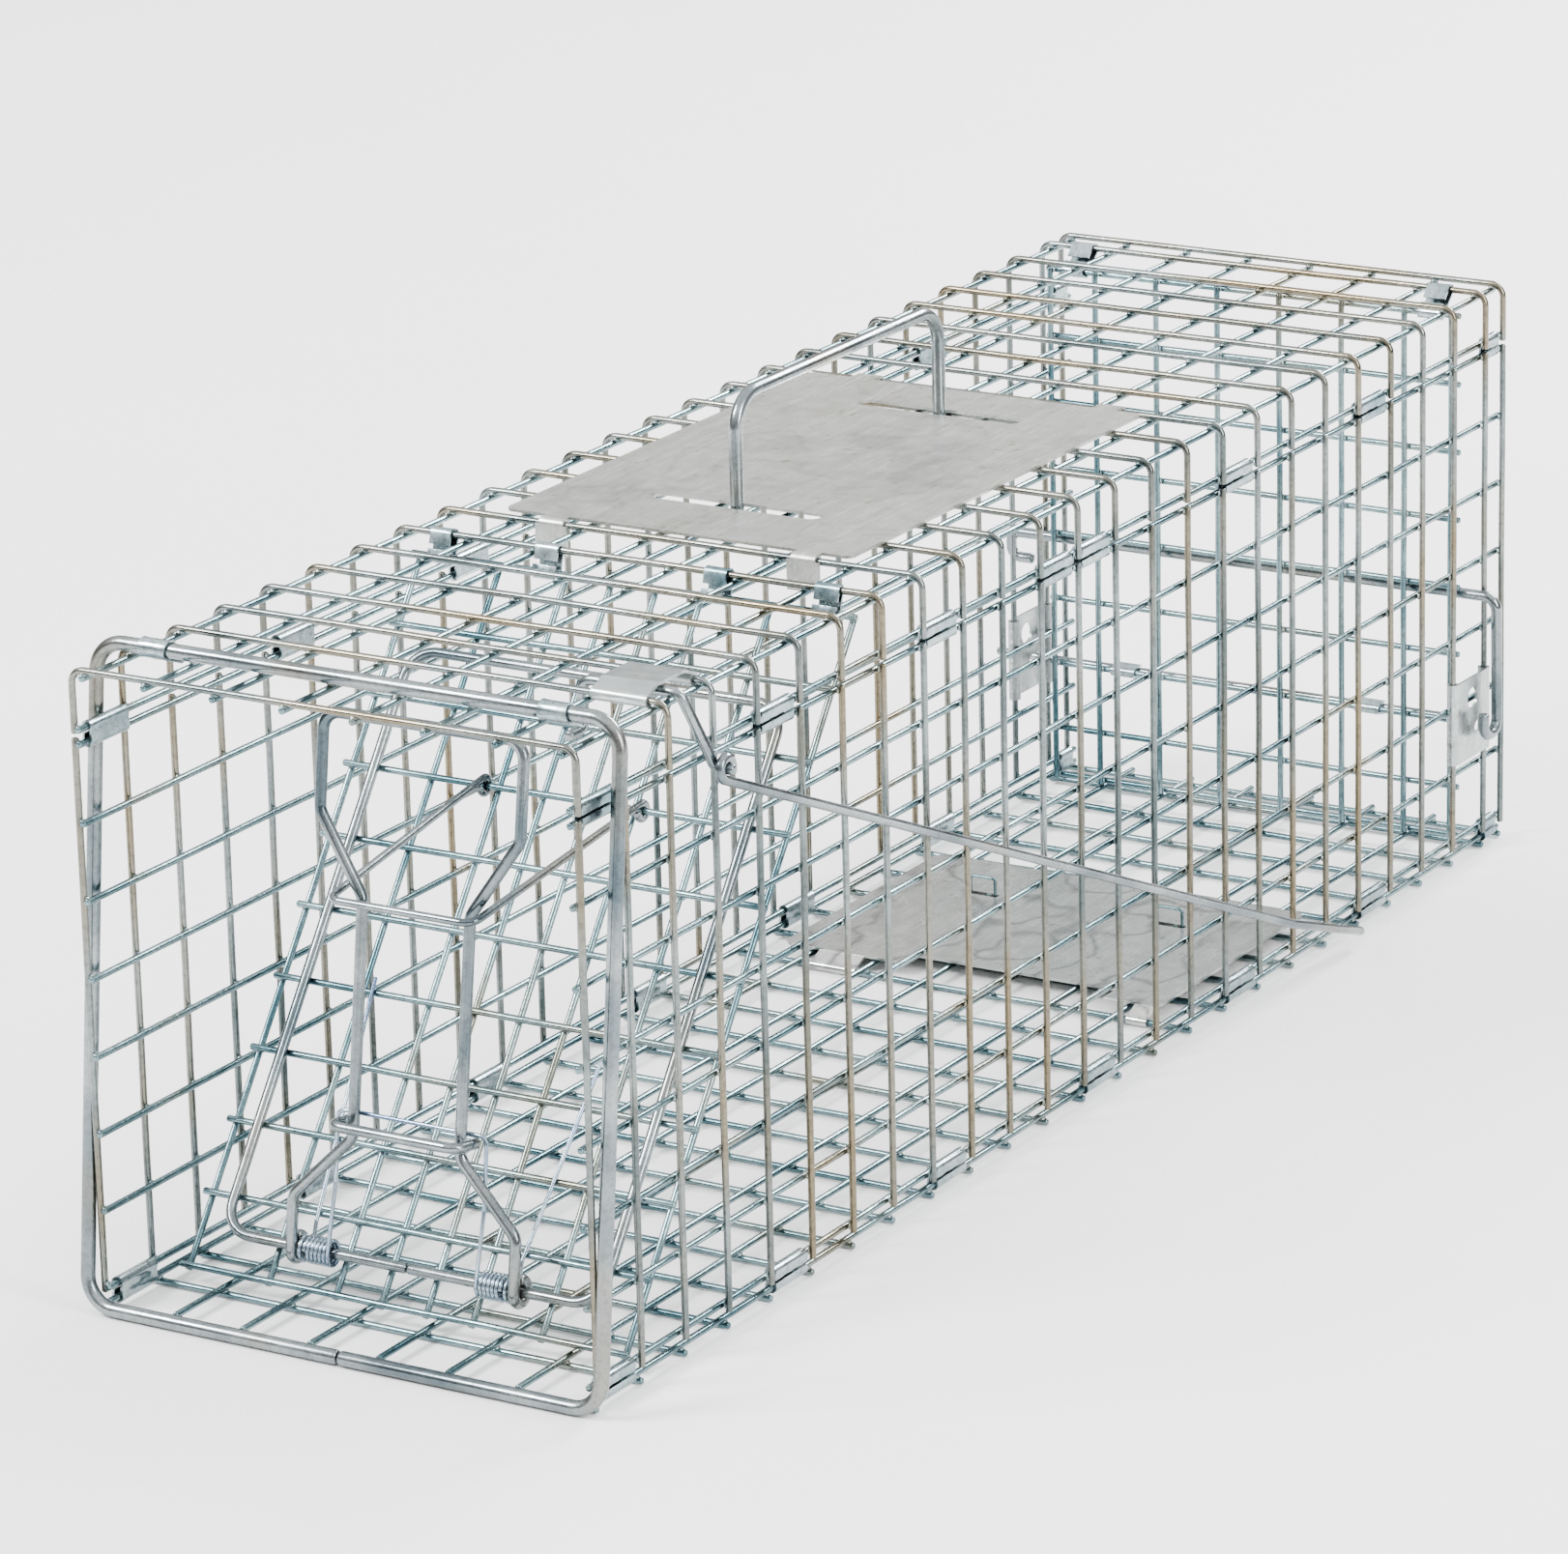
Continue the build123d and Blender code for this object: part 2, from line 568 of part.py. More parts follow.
def lock_rod():
    """Straight rod behind the rear door, drawn out through the left padlock plate."""
    z = REAR_HINGE_Z - SLEEVE_ROW * PITCH
    return [rod((LOCK_ROD_X[0], LOCK_ROD_Y, z), (LOCK_ROD_X[1], LOCK_ROD_Y, z), LOCK_ROD_WIRE)]


def rear_bail():
    """Bail behind the rear door: hooked end at the left, long hooked leg at the right."""
    points = [
        (BAIL_LEFT_X + BAIL_HOOK, BAIL_Y + 1, BAIL_Z - 2 * BAIL_BEND),
        (BAIL_LEFT_X, BAIL_Y + 0.5, BAIL_Z - 2 * BAIL_BEND),
        (BAIL_LEFT_X, BAIL_Y, BAIL_Z),
        (BAIL_RIGHT_X, BAIL_Y, BAIL_Z),
        (BAIL_RIGHT_X, BAIL_Y + 1, BAIL_FOOT_Z),
        (BAIL_RIGHT_X, BAIL_Y - 2 * BAIL_BEND, BAIL_FOOT_Z),
        (BAIL_RIGHT_X, BAIL_Y - 2 * BAIL_BEND, BAIL_FOOT_Z + BAIL_HOOK),
    ]
    return [bent(points, BAIL_WIRE, [4.0, 4.0, BAIL_BEND, 4.9, 4.9])]


def padlock_plate(side):
    """Plate rolled round two upright wires, with a padlock hole and a slot for the lock rod."""
    inner = WIRE / 2 + FIT
    first, second = WIRE_ROWS[CELLS_LONG - 1], WIRE_ROWS[CELLS_LONG]
    x = SIDE_WIRE_X
    section = Pos(x, first) * Circle(inner + PLATE) + Pos(x, second) * Circle(inner + PLATE)
    face = x + inner + PLATE / 2
    section += Pos(face, (first + second) / 2) * Rectangle(PLATE, second - first)
    for y in (first, second):
        section -= Pos(x, y) * Circle(inner)
    low, high = PADLOCK_Z
    plate = extrude(Pos(0, 0, low) * section, amount=high - low)
    row = SIDE_BASE + 2 * PITCH
    middle = (first + second) / 2
    plate -= Pos(HALF_WIDTH - WIRE, middle, row) * Box(3 * WIRE, 2 * PITCH, WIRE + 2 * GAP)
    hole = Plane(origin=(face, PADLOCK_HOLE_Y, PADLOCK_HOLE_Z), x_dir=(0, 1, 0), z_dir=(1, 0, 0))
    plate -= extrude(hole * Circle(PADLOCK_HOLE_R), amount=PLATE, both=True)
    slot_z = REAR_HINGE_Z - SLEEVE_ROW * PITCH
    slot = Plane(origin=(face, LOCK_ROD_Y - 2.6, slot_z), x_dir=(0, 1, 0), z_dir=(1, 0, 0))
    plate -= extrude(slot * SlotOverall(*PADLOCK_SLOT), amount=PLATE, both=True)
    if side < 0:
        plate = mirror(plate, Plane.YZ)
    return plate.solids()


# ---------------------------------------------------------------- assembly
def nodes():
    """Every sub-part as a list of solids, by name."""
    sides = {"left": -1, "right": 1}
    parts = {"floor_panel": floor_panel(), "top_cover": top_cover()}
    for name, side in sides.items():
        extra = [DOUBLE_CLIP_CELL] if name == "right" else []
        parts[name + "_side_panel"] = side_panel(side)
        parts["upper_" + name + "_seam_clips"] = seam_clips(side, FLANGE_Z, SIDE_TOP, extra)
        parts["lower_" + name + "_seam_clips"] = seam_clips(side, SIDE_BASE, LAYER, [])
        parts[name + "_padlock_plate"] = padlock_plate(side)
    places = [side * x for x in DOOR_CLIP_X for side in (-1, 1)]
    door_hinge = (DOOR_HINGE_Y, DOOR_HINGE_Z, WIRE / 2)
    rear_hinge = (REAR_Y, REAR_HINGE_Z, WIRE / 2)
    hoop_bar = (HOOP_TOP_Y, HOOP_TOP_Z, HOOP_WIRE / 2)
    parts["door_hinge_clips"] = clips_on_top(places, DOOR_CLIP_ROW, door_hinge, DOOR_CLIP)
    parts["rear_hinge_clips"] = clips_on_top(REAR_CLIP_X, CELLS_LONG, rear_hinge, REAR_CLIP)
    parts["hoop_clips"] = clips_on_top(HOOP_CLIP_X, HOOP_CLIP_ROW, hoop_bar, HOOP_CLIP)
    parts["front_hoop"] = front_hoop()
    parts["front_door_mesh"] = front_door_mesh()
    parts["front_door_frame"] = door_frame()
    parts["lock_frame"] = lock_frame()
    parts["lock_tie"] = lock_tie()
    parts["lock_spring"] = lock_spring()
    parts["lock_spring_legs"] = lock_spring_legs()
    parts["guide_loop"] = guide_loop()
    parts["latch_plate"] = latch_plate()
    parts["latch_crank"] = latch_crank()
    parts["trigger_rod"] = trigger_rod()
    parts["treadle_plate"] = treadle_plate()
    parts["treadle_links"] = treadle_links()
    parts["handle_plate"] = handle_plate()
    parts["handle"] = handle()
    parts["rear_door_mesh"] = rear_door_mesh()
    parts["rear_door_sleeves"] = rear_door_sleeves()
    parts["rear_lock_rod"] = lock_rod()
    parts["rear_bail"] = rear_bail()
    return parts


def pivots():
    """A point on the axis of each joint."""
    return {
        "front_door_swing": Vector(0, DOOR_HINGE_Y, DOOR_HINGE_Z),
        "lock_frame_swing": LOCK_PIVOT,
        "guide_loop_swing": LOOP_PIVOT,
        "latch_crank_turn": Vector(LATCH_X[0], CRANK_Y, CRANK_Z),
        "trigger_rod_swing": Vector(ROD_X, CRANK_PIN_Y, CRANK_PIN_Z),
        "treadle_tilt": Vector(0, WIRE_ROWS[TREADLE_ROW], 0),
        "handle_tilt": Vector(0, HANDLE_LEGS[0], HANDLE_AXIS_Z),
        "rear_door_swing": Vector(0, REAR_Y, REAR_HINGE_Z),
        "rear_bail_swing": Vector(0, BAIL_Y, BAIL_Z),
        "front_hoop_swing": Vector(0, HOOP_TOP_Y, HOOP_TOP_Z),
        "padlock_hole": Vector(SIDE_WIRE_X + WIRE / 2 + FIT + PLATE / 2, PADLOCK_HOLE_Y, PADLOCK_HOLE_Z),
    }


def main():
    os.makedirs("parts", exist_ok=True)
    parts = nodes()
    box = Compound([solid for solids in parts.values() for solid in solids]).bounding_box()
    centre = box.center()
    shift = Pos(-centre.X, -centre.Y, -box.min.Z)
    for name, solids in parts.items():
        export_step(Compound(solids).moved(shift), f"parts/{name}.step")
    print("size", box.size, "shift", -centre.X, -centre.Y, -box.min.Z)
    for name, point in pivots().items():
        place = [round(v, 3) for v in (point.X - centre.X, point.Y - centre.Y, point.Z - box.min.Z)]
        print("pivot", name, *place)


main()
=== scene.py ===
import math
import random

import bpy
from mathutils import Matrix, Vector


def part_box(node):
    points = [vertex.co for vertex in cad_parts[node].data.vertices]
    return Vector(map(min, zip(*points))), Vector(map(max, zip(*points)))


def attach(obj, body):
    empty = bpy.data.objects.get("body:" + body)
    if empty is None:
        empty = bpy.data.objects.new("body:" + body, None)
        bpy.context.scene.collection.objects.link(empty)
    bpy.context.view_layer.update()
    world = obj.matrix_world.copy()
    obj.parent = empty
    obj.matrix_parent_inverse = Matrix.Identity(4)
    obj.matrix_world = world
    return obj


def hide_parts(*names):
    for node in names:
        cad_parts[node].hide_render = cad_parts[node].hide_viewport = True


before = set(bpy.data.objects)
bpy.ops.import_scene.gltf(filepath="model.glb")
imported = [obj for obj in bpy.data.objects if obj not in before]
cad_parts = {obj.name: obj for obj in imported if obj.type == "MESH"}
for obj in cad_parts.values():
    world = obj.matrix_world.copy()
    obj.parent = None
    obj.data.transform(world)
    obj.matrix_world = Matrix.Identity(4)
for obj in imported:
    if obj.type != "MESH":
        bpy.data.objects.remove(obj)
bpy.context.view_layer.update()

# Lengths are millimetres from the middle of the front wire at floor level, as the trap is
# designed: X across, Y to the rear, Z up. at() turns them into metres in the frame.
MM = 0.001
PITCH = 25.4
WIRE = 2.3
LAYER = 2.25
STUB = 1.7
ROWS = [k * PITCH for k in range(25)] + [24.57 * PITCH]
LENGTH = ROWS[-1]
HALF_WIDTH = 3.5 * PITCH
SIDE_X = HALF_WIDTH + LAYER
SIDE_ROWS = [7.0 + k * PITCH for k in range(8)]
TOP_Z = 208.5
FLANGE_Z = 189.5
FLANGE_BEND = 4.5
TOP_UNDER = TOP_Z - LAYER
TOP_LONG = [k * PITCH - HALF_WIDTH for k in range(1, 7)]

CLEARANCE = 0.05  # between a wire and another that turns on it or rests against it
SINK = 0.05  # how far two welded wires melt into each other
SPACE = 0.3  # between neighbouring wires, and half the gap where one wire's ends meet
EYE_TURN = 290  # degrees of wire in an open eye
STRAY = 0.10  # how far a long wire wavers
SLIGHT_STRAY = 0.08  # the same for the uprights, the top's bent wires and its edge wires

floor_low, floor_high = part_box("floor_panel")
ORIGIN = Vector(((floor_low.x + floor_high.x) / 2, floor_low.y + STUB * MM, floor_low.z + WIRE / 2 * MM))


def at(x, y, z):
    """A design point in millimetres as a frame point in metres."""
    return ORIGIN + Vector((x, y, z)) * MM


def both_sides(distances):
    """Places at each distance from the trap's middle, left and right."""
    return [side * x for x in distances for side in (-1, 1)]


def mirrored(points):
    """A half outline and its mirror image about the trap's middle."""
    return points + [Vector((-p[0], p[1], p[2])) for p in reversed(points)]


# ---------------------------------------------------------------- routes
def fillet(points, radii, step=14.0):
    """A row of points with each corner turned into an arc, in steps of so many degrees."""
    points = [Vector(p) for p in points]
    if not isinstance(radii, (list, tuple)):
        radii = [radii] * (len(points) - 2)
    route = [points[0]]
    for before, corner, after, radius in zip(points, points[1:], points[2:], radii):
        a = (before - corner).normalized()
        b = (after - corner).normalized()
        half = a.angle(b) / 2
        turn = math.pi - 2 * half
        if turn < math.radians(2):
            route.append(corner)
            continue
        back = radius / math.tan(half)
        centre = corner + (a + b).normalized() * (radius / math.sin(half))
        start = corner + a * back - centre
        axis = start.cross(corner + b * back - centre).normalized()
        count = max(2, math.ceil(math.degrees(turn) / step))
        for k in range(count + 1):
            route.append(centre + Matrix.Rotation(turn * k / count, 3, axis) @ start)
    route.append(points[-1])
    return route


def divide(route, longest):
    """The same route with no span longer than the given length."""
    out = [route[0]]
    for a, b in zip(route, route[1:]):
        count = max(1, math.ceil((b - a).length / longest))
        out += [a.lerp(b, k / count) for k in range(1, count + 1)]
    return out


WAVES = 6
WAVE_LENGTH = (60, 160)
WAVE_SIZE = (0.4, 1)


def waver(route, amount, rng, longest=13.0):
    """Wire as it comes off the straightener: never quite straight, ends held in place."""
    route = divide([Vector(p) for p in route], longest)
    total = sum((b - a).length for a, b in zip(route, route[1:]))
    waves = []
    for _ in range(WAVES):
        waves.append((rng.uniform(*WAVE_LENGTH), rng.uniform(0, math.tau), rng.uniform(*WAVE_SIZE)))
    run = 0.0
    out = []
    for k, p in enumerate(route):
        if k:
            run += (p - route[k - 1]).length
        hold = math.sin(math.pi * min(1, max(0, run / total))) ** 0.5
        off = [0.0, 0.0, 0.0]
        for n, (length, phase, size) in enumerate(waves):
            off[n % 3] += size * math.sin(run / length * math.tau + phase)
        out.append(p + Vector(off) * amount * hold)
    return out


# ---------------------------------------------------------------- meshes
def link(obj):
    bpy.context.scene.collection.objects.link(obj)
    return obj


class Shape:
    """Points and faces of one piece, in metres, with a material number for each face."""

    def __init__(self):
        self.points = []
        self.faces = []
        self.kinds = []

    def add(self, points, faces, kind=0):
        first = len(self.points)
        self.points += points
        self.faces += [[first + i for i in face] for face in faces]
        self.kinds += [kind] * len(faces)

    def piece(self, name, body, materials, node):
        """Make the mesh, which rides on the body and replaces the CAD node."""
        mesh = bpy.data.meshes.new(name)
        mesh.from_pydata([tuple(p) for p in self.points], [], self.faces)
        mesh.polygons.foreach_set("material_index", self.kinds)
        for material in materials:
            mesh.materials.append(material)
        mesh.update()
        mesh.shade_smooth()
        mesh.set_sharp_from_angle(angle=math.radians(50))
        obj = link(bpy.data.objects.new(name, mesh))
        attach(obj, body)
        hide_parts(node)


SHEARED = [(0.0, 0.72), (0.18, 0.94), (0.42, 1.0)]  # (way in from a wire's end, size), in radii


def tube(shape, route, diameter, kind=0, sides=10):
    """A round wire along a route in design millimetres, its sheared ends slightly rounded."""
    route = [Vector(p) for p in route]
    clean = [route[0]]
    for p in route[1:]:
        if (p - clean[-1]).length > 1e-4:
            clean.append(p)
    r = diameter / 2
    first = (clean[1] - clean[0]).normalized()
    last = (clean[-1] - clean[-2]).normalized()
    rings = [(clean[0] + first * r * inset, size) for inset, size in SHEARED]
    rings += [(p, 1.0) for p in clean[1:-1]]
    rings += [(clean[-1] - last * r * inset, size) for inset, size in reversed(SHEARED)]
    normal = first.orthogonal().normalized()
    points = []
    for k, (p, size) in enumerate(rings):
        before = rings[max(0, k - 1)][0]
        after = rings[min(len(rings) - 1, k + 1)][0]
        along = (after - before).normalized()
        normal = (normal - along * normal.dot(along)).normalized()
        side = along.cross(normal)
        for j in range(sides):
            angle = math.tau * j / sides
            spot = p + (normal * math.cos(angle) + side * math.sin(angle)) * r * size
            points.append(at(*spot))
    faces = []
    for k in range(len(rings) - 1):
        for j in range(sides):
            n = (j + 1) % sides
            faces.append([k * sides + j, k * sides + n, (k + 1) * sides + n, (k + 1) * sides + j])
    faces.append(list(range(sides))[::-1])
    top = (len(rings) - 1) * sides
    faces.append([top + j for j in range(sides)])
    shape.add(points, faces, kind)


NUGGET_WIDE = (1.12, 1.3)
NUGGET_DEEP = (0.75, 0.95)
NUGGET_UNEVEN = (0.93, 1.05)
NUGGET_SIDES = 8
NUGGET_LAYERS = 3
WELDED = 1  # places in a piece's list of materials, after the plain wire's
CROSSING = 2


def nugget(shape, centre, along, across, rng, size=WIRE / 2):
    """The small squeezed bulge of a resistance weld where two wires cross."""
    a = Vector(along).normalized()
    b = Vector(across).normalized()
    c = a.cross(b)
    wide = size * rng.uniform(*NUGGET_WIDE)
    deep = size * rng.uniform(*NUGGET_DEEP)
    spin = rng.uniform(0, math.tau)
    sides, layers = NUGGET_SIDES, NUGGET_LAYERS
    points = [at(*(Vector(centre) + c * deep))]
    for k in range(1, layers + 1):
        tilt = math.pi * k / (layers + 1)
        for j in range(sides):
            angle = spin + math.tau * j / sides
            reach = wide * math.sin(tilt) * rng.uniform(*NUGGET_UNEVEN)
            flat = a * math.cos(angle) + b * math.sin(angle)
            points.append(at(*(Vector(centre) + flat * reach + c * deep * math.cos(tilt))))
    points.append(at(*(Vector(centre) - c * deep)))
    faces = [[0, 1 + j, 1 + (j + 1) % sides] for j in range(sides)]
    for k in range(layers - 1):
        upper = 1 + k * sides
        lower = upper + sides
        for j in range(sides):
            n = (j + 1) % sides
            faces.append([upper + j, lower + j, lower + n, upper + n])
    end = len(points) - 1
    low = 1 + (layers - 1) * sides
    faces += [[low + j, end, low + (j + 1) % sides] for j in range(sides)]
    shape.add(points, faces, WELDED)


STRIP = 0.8
CRIMP_ARC = 8
CRIMP_STATIONS = 13
PINCHES = [(0.3, 0.7), (0.5, 1.0), (0.7, 0.7)]  # (share of the way between the wires, depth)
CRIMP_DEPTH = (0.5, 0.75)
CRIMP_FLARE = 0.05


def crimp_outline():
    """(u, v, wire, pinch) round a crimped strip: arcs round wires 0 and 1, dented flats between."""
    outline = []
    for wire, start, flat in ((0, math.pi / 2, -1), (1, -math.pi / 2, 1)):
        for k in range(CRIMP_ARC + 1):
            angle = start + math.pi * k / CRIMP_ARC
            outline.append((math.cos(angle), math.sin(angle), wire, 0.0))
        outline += [(t, flat, None, pinch) for t, pinch in PINCHES[::flat * -1]]
    return outline


def crimp_faces(count, skip):
    """Faces of a strip with an outside, an inside, edges and an open seam after point skip."""
    stations = CRIMP_STATIONS
    wall = [j for j in range(count) if j != skip]
    faces = []
    for s in range(stations - 1):
        for j in wall:
            n = (j + 1) % count
            a, b = s * count, (s + 1) * count
            faces.append([a + j, a + n, b + n, b + j])
            a, b = (stations + s) * count, (stations + s + 1) * count
            faces.append([a + j, b + j, b + n, a + n])
    for s in (0, stations - 1):
        for j in wall:
            n = (j + 1) % count
            a, b = s * count, (stations + s) * count
            edge = [a + j, b + j, b + n, a + n]
            faces.append(edge if s == 0 else edge[::-1])
    for j, flip in ((skip, False), ((skip + 1) % count, True)):
        for s in range(stations - 1):
            a, b = s * count + j, (s + 1) * count + j
            edge = [a, b, b + stations * count, a + stations * count]
            faces.append(edge[::-1] if flip else edge)
    return faces


def crimped(shape, middle, run, first, second, length, rng, seam=0):
    """A folded strip squeezed round two parallel wires.

    middle is a point on the run, run the wires' direction; first and second are (offset, radius)
    of each wire, the offsets being vectors square to the run. seam chooses the flat that is open.
    """
    run = Vector(run).normalized()
    e = (second[0] - first[0]).normalized()
    f = run.cross(e)
    span = (second[0] - first[0]).length
    skew = [rng.uniform(-0.5, 0.5) for _ in range(2)]
    depth = rng.uniform(*CRIMP_DEPTH)
    thick = STRIP * 0.85
    outline = crimp_outline()
    points = []
    for inner in (0, 1):
        r1 = first[1] + STRIP - inner * thick
        r2 = second[1] + STRIP - inner * thick
        for s in range(CRIMP_STATIONS):
            t = s / (CRIMP_STATIONS - 1)
            hollow = 0.45 + 0.55 * math.sin(math.pi * t) ** 2
            teeth = 0.75 + 0.25 * math.cos(3 * math.tau * t)
            dent = depth * hollow * teeth
            flare = 1.0 + CRIMP_FLARE * abs(2 * t - 1) ** 6
            lean = skew[0] if t < 0.5 else skew[1]
            for u, v, wire, pinch in outline:
                if wire == 0:
                    spot = first[0] + e * u * r1 * flare + f * v * r1 * flare
                elif wire == 1:
                    spot = second[0] + e * u * r2 * flare + f * v * r2 * flare
                else:
                    r = r1 + (r2 - r1) * u
                    spot = first[0] + e * u * span + f * v * (r * flare - dent * pinch)
                slant = lean * (v * 0.8 if wire is None else v) * abs(2 * t - 1)
                points.append(at(*(Vector(middle) + spot + run * ((t - 0.5) * length + slant))))
    count = len(outline)
    shape.add(points, crimp_faces(count, CRIMP_ARC + 2 + seam * count // 2))


# ---------------------------------------------------------------- materials
def nodes_of(name):
    material = bpy.data.materials.new(name)
    material.use_nodes = True
    tree = material.node_tree
    tree.nodes.clear()
    out = tree.nodes.new("ShaderNodeOutputMaterial")
    shader = tree.nodes.new("ShaderNodeBsdfPrincipled")
    tree.links.new(shader.outputs["BSDF"], out.inputs["Surface"])
    coords = tree.nodes.new("ShaderNodeTexCoord")
    return material, tree, shader, coords.outputs["Object"]


def noise(tree, vector, scale, detail=3.0, rough=0.55, stretch=None):
    node = tree.nodes.new("ShaderNodeTexNoise")
    node.inputs["Scale"].default_value = scale
    node.inputs["Detail"].default_value = detail
    node.inputs["Roughness"].default_value = rough
    if stretch:
        mapping = tree.nodes.new("ShaderNodeMapping")
        mapping.inputs["Scale"].default_value = stretch
        tree.links.new(vector, mapping.inputs["Vector"])
        vector = mapping.outputs["Vector"]
    tree.links.new(vector, node.inputs["Vector"])
    return node.outputs["Fac"]


def ramp(tree, value, stops):
    node = tree.nodes.new("ShaderNodeValToRGB")
    band = node.color_ramp
    while len(band.elements) < len(stops):
        band.elements.new(0.5)
    for element, (place, colour) in zip(band.elements, stops):
        element.position = place
        element.color = (*colour, 1.0)
    tree.links.new(value, node.inputs["Fac"])
    return node.outputs["Color"]


def grey(level):
    return (level, level, level)


def rise(tree, value, start, end, low, high):
    """Grey that climbs from low to high between two levels of the value."""
    return ramp(tree, value, [(start, grey(low)), (end, grey(high))])


def line_at(tree, value, middle, half, strength):
    """A thin grey line where the value passes the middle level."""
    return ramp(tree, value, [(middle - half, grey(0)), (middle, grey(strength)), (middle + half, grey(0))])


def mix(tree, kind, factor, a, b):
    node = tree.nodes.new("ShaderNodeMix")
    node.data_type = "RGBA"
    node.blend_type = kind
    for socket, value in ((node.inputs["Factor"], factor), (node.inputs["A"], a), (node.inputs["B"], b)):
        if hasattr(value, "links"):
            tree.links.new(value, socket)
        elif isinstance(value, tuple):
            socket.default_value = (*value, 1.0)
        else:
            socket.default_value = value
    return node.outputs["Result"]


def bump(tree, shader, height, strength, distance):
    node = tree.nodes.new("ShaderNodeBump")
    node.inputs["Strength"].default_value = strength
    node.inputs["Distance"].default_value = distance
    tree.links.new(height, node.inputs["Height"])
    tree.links.new(node.outputs["Normal"], shader.inputs["Normal"])


def shade(colour, share):
    return tuple(share * c for c in colour)


def zinc(name, cool, pale, straw, straw_share, rough, grime):
    """Zinc-plated steel: cool grey with paler drifts, straw-coloured tints and dull specks."""
    material, tree, shader, vector = nodes_of(name)
    drift = noise(tree, vector, scale=16, detail=3, rough=0.5)
    colour = ramp(tree, drift, [(0.36, cool), (0.55, pale), (0.72, cool)])
    tint = noise(tree, vector, scale=12, detail=3, rough=0.5, stretch=(1.0, 1.3, 0.8))
    mask = rise(tree, tint, 1 - straw_share, 1.08 - straw_share * 0.75, 0, 1)
    colour = mix(tree, "MIX", mask, colour, straw)
    speck = noise(tree, vector, scale=520, detail=3, rough=0.7)
    colour = mix(tree, "MULTIPLY", 1.0, colour, rise(tree, speck, 0.40, 0.52, 1 - grime, 1))
    tree.links.new(colour, shader.inputs["Base Color"])
    wear = noise(tree, vector, scale=90, detail=3, rough=0.6)
    tree.links.new(rise(tree, wear, 0.35, 0.65, *rough), shader.inputs["Roughness"])
    shader.inputs["Metallic"].default_value = 1.0
    bump(tree, shader, noise(tree, vector, scale=800, detail=3, rough=0.6), strength=0.14, distance=0.0002)
    return material


SCRATCH_COLOUR = (0.82, 0.83, 0.83)
FLECK_COLOUR = (0.6, 0.54, 0.44)


def galvanised(name, base, smudge, stretch, strokes, gloss):
    """Pale zinc-coated sheet: faint spangle, rolling lines, smudges, thin dark lines that are partly rub
    marks and partly painted shadows and reflections of the wires (strongest on the treadle), and scratches.
    """
    material, tree, shader, vector = nodes_of(name)
    spangle = tree.nodes.new("ShaderNodeTexVoronoi")
    spangle.inputs["Scale"].default_value = 130
    tree.links.new(vector, spangle.inputs["Vector"])
    colour = ramp(tree, spangle.outputs["Distance"], [(0.0, base), (0.8, shade(base, 0.82))])
    cloud = noise(tree, vector, scale=20, detail=6, rough=0.66)
    colour = mix(tree, "MIX", rise(tree, cloud, 0.48, 0.66, 0, 0.85), colour, smudge)
    # thin dark wavy lines: partly rub marks, partly painted shadows and reflections of the cage's wires,
    # strongest on the treadle
    rub_and_wire_shadow = noise(tree, vector, scale=32, detail=2, rough=0.4, stretch=(1.0, 0.8, 1.0))
    colour = mix(tree, "MIX", line_at(tree, rub_and_wire_shadow, 0.5, 0.03, strokes), colour, shade(smudge, 0.62))
    fleck = noise(tree, vector, scale=210, detail=3, rough=0.6)
    colour = mix(tree, "MULTIPLY", rise(tree, fleck, 0.64, 0.7, 0, 0.8), colour, FLECK_COLOUR)
    scratch = noise(tree, vector, scale=60, detail=4, rough=0.7, stretch=stretch)
    colour = mix(tree, "MIX", line_at(tree, scratch, 0.5, 0.015, 0.55), colour, SCRATCH_COLOUR)
    tree.links.new(colour, shader.inputs["Base Color"])
    tree.links.new(rise(tree, cloud, 0.35, 0.68, *gloss), shader.inputs["Roughness"])
    shader.inputs["Metallic"].default_value = 0.9
    rolling = noise(tree, vector, scale=26, detail=4, rough=0.65, stretch=stretch)
    bump(tree, shader, rolling, strength=0.35, distance=0.0008)
    return material


MESH_ZINC = zinc(
    "mesh_zinc",
    cool=(0.055, 0.115, 0.135),
    pale=(0.20, 0.29, 0.31),
    straw=(0.18, 0.155, 0.10),
    straw_share=0.46,
    rough=(0.14, 0.32),
    grime=0.25,
)
CROSS_ZINC = zinc(
    "cross_zinc",
    cool=(0.075, 0.095, 0.095),
    pale=(0.21, 0.24, 0.24),
    straw=(0.19, 0.155, 0.10),
    straw_share=0.58,
    rough=(0.14, 0.32),
    grime=0.25,
)
WELD = zinc(
    "weld_zinc",
    cool=(0.11, 0.16, 0.17),
    pale=(0.30, 0.36, 0.37),
    straw=(0.22, 0.19, 0.13),
    straw_share=0.50,
    rough=(0.24, 0.42),
    grime=0.3,
)
HEAVY_ZINC = zinc(
    "heavy_zinc",
    cool=(0.085, 0.115, 0.13),
    pale=(0.27, 0.30, 0.31),
    straw=(0.20, 0.17, 0.12),
    straw_share=0.48,
    rough=(0.13, 0.30),
    grime=0.2,
)
SPRING_ZINC = zinc(
    "spring_zinc",
    cool=(0.07, 0.13, 0.26),
    pale=(0.36, 0.44, 0.50),
    straw=(0.24, 0.22, 0.18),
    straw_share=0.30,
    rough=(0.12, 0.26),
    grime=0.15,
)
CLIP_ZINC = zinc(
    "clip_zinc",
    cool=(0.13, 0.21, 0.24),
    pale=(0.38, 0.45, 0.47),
    straw=(0.28, 0.26, 0.19),
    straw_share=0.36,
    rough=(0.18, 0.36),
    grime=0.3,
)
ROLLED_ACROSS = (6.0, 0.15, 1.0)
ROLLED_ALONG = (0.15, 6.0, 1.0)
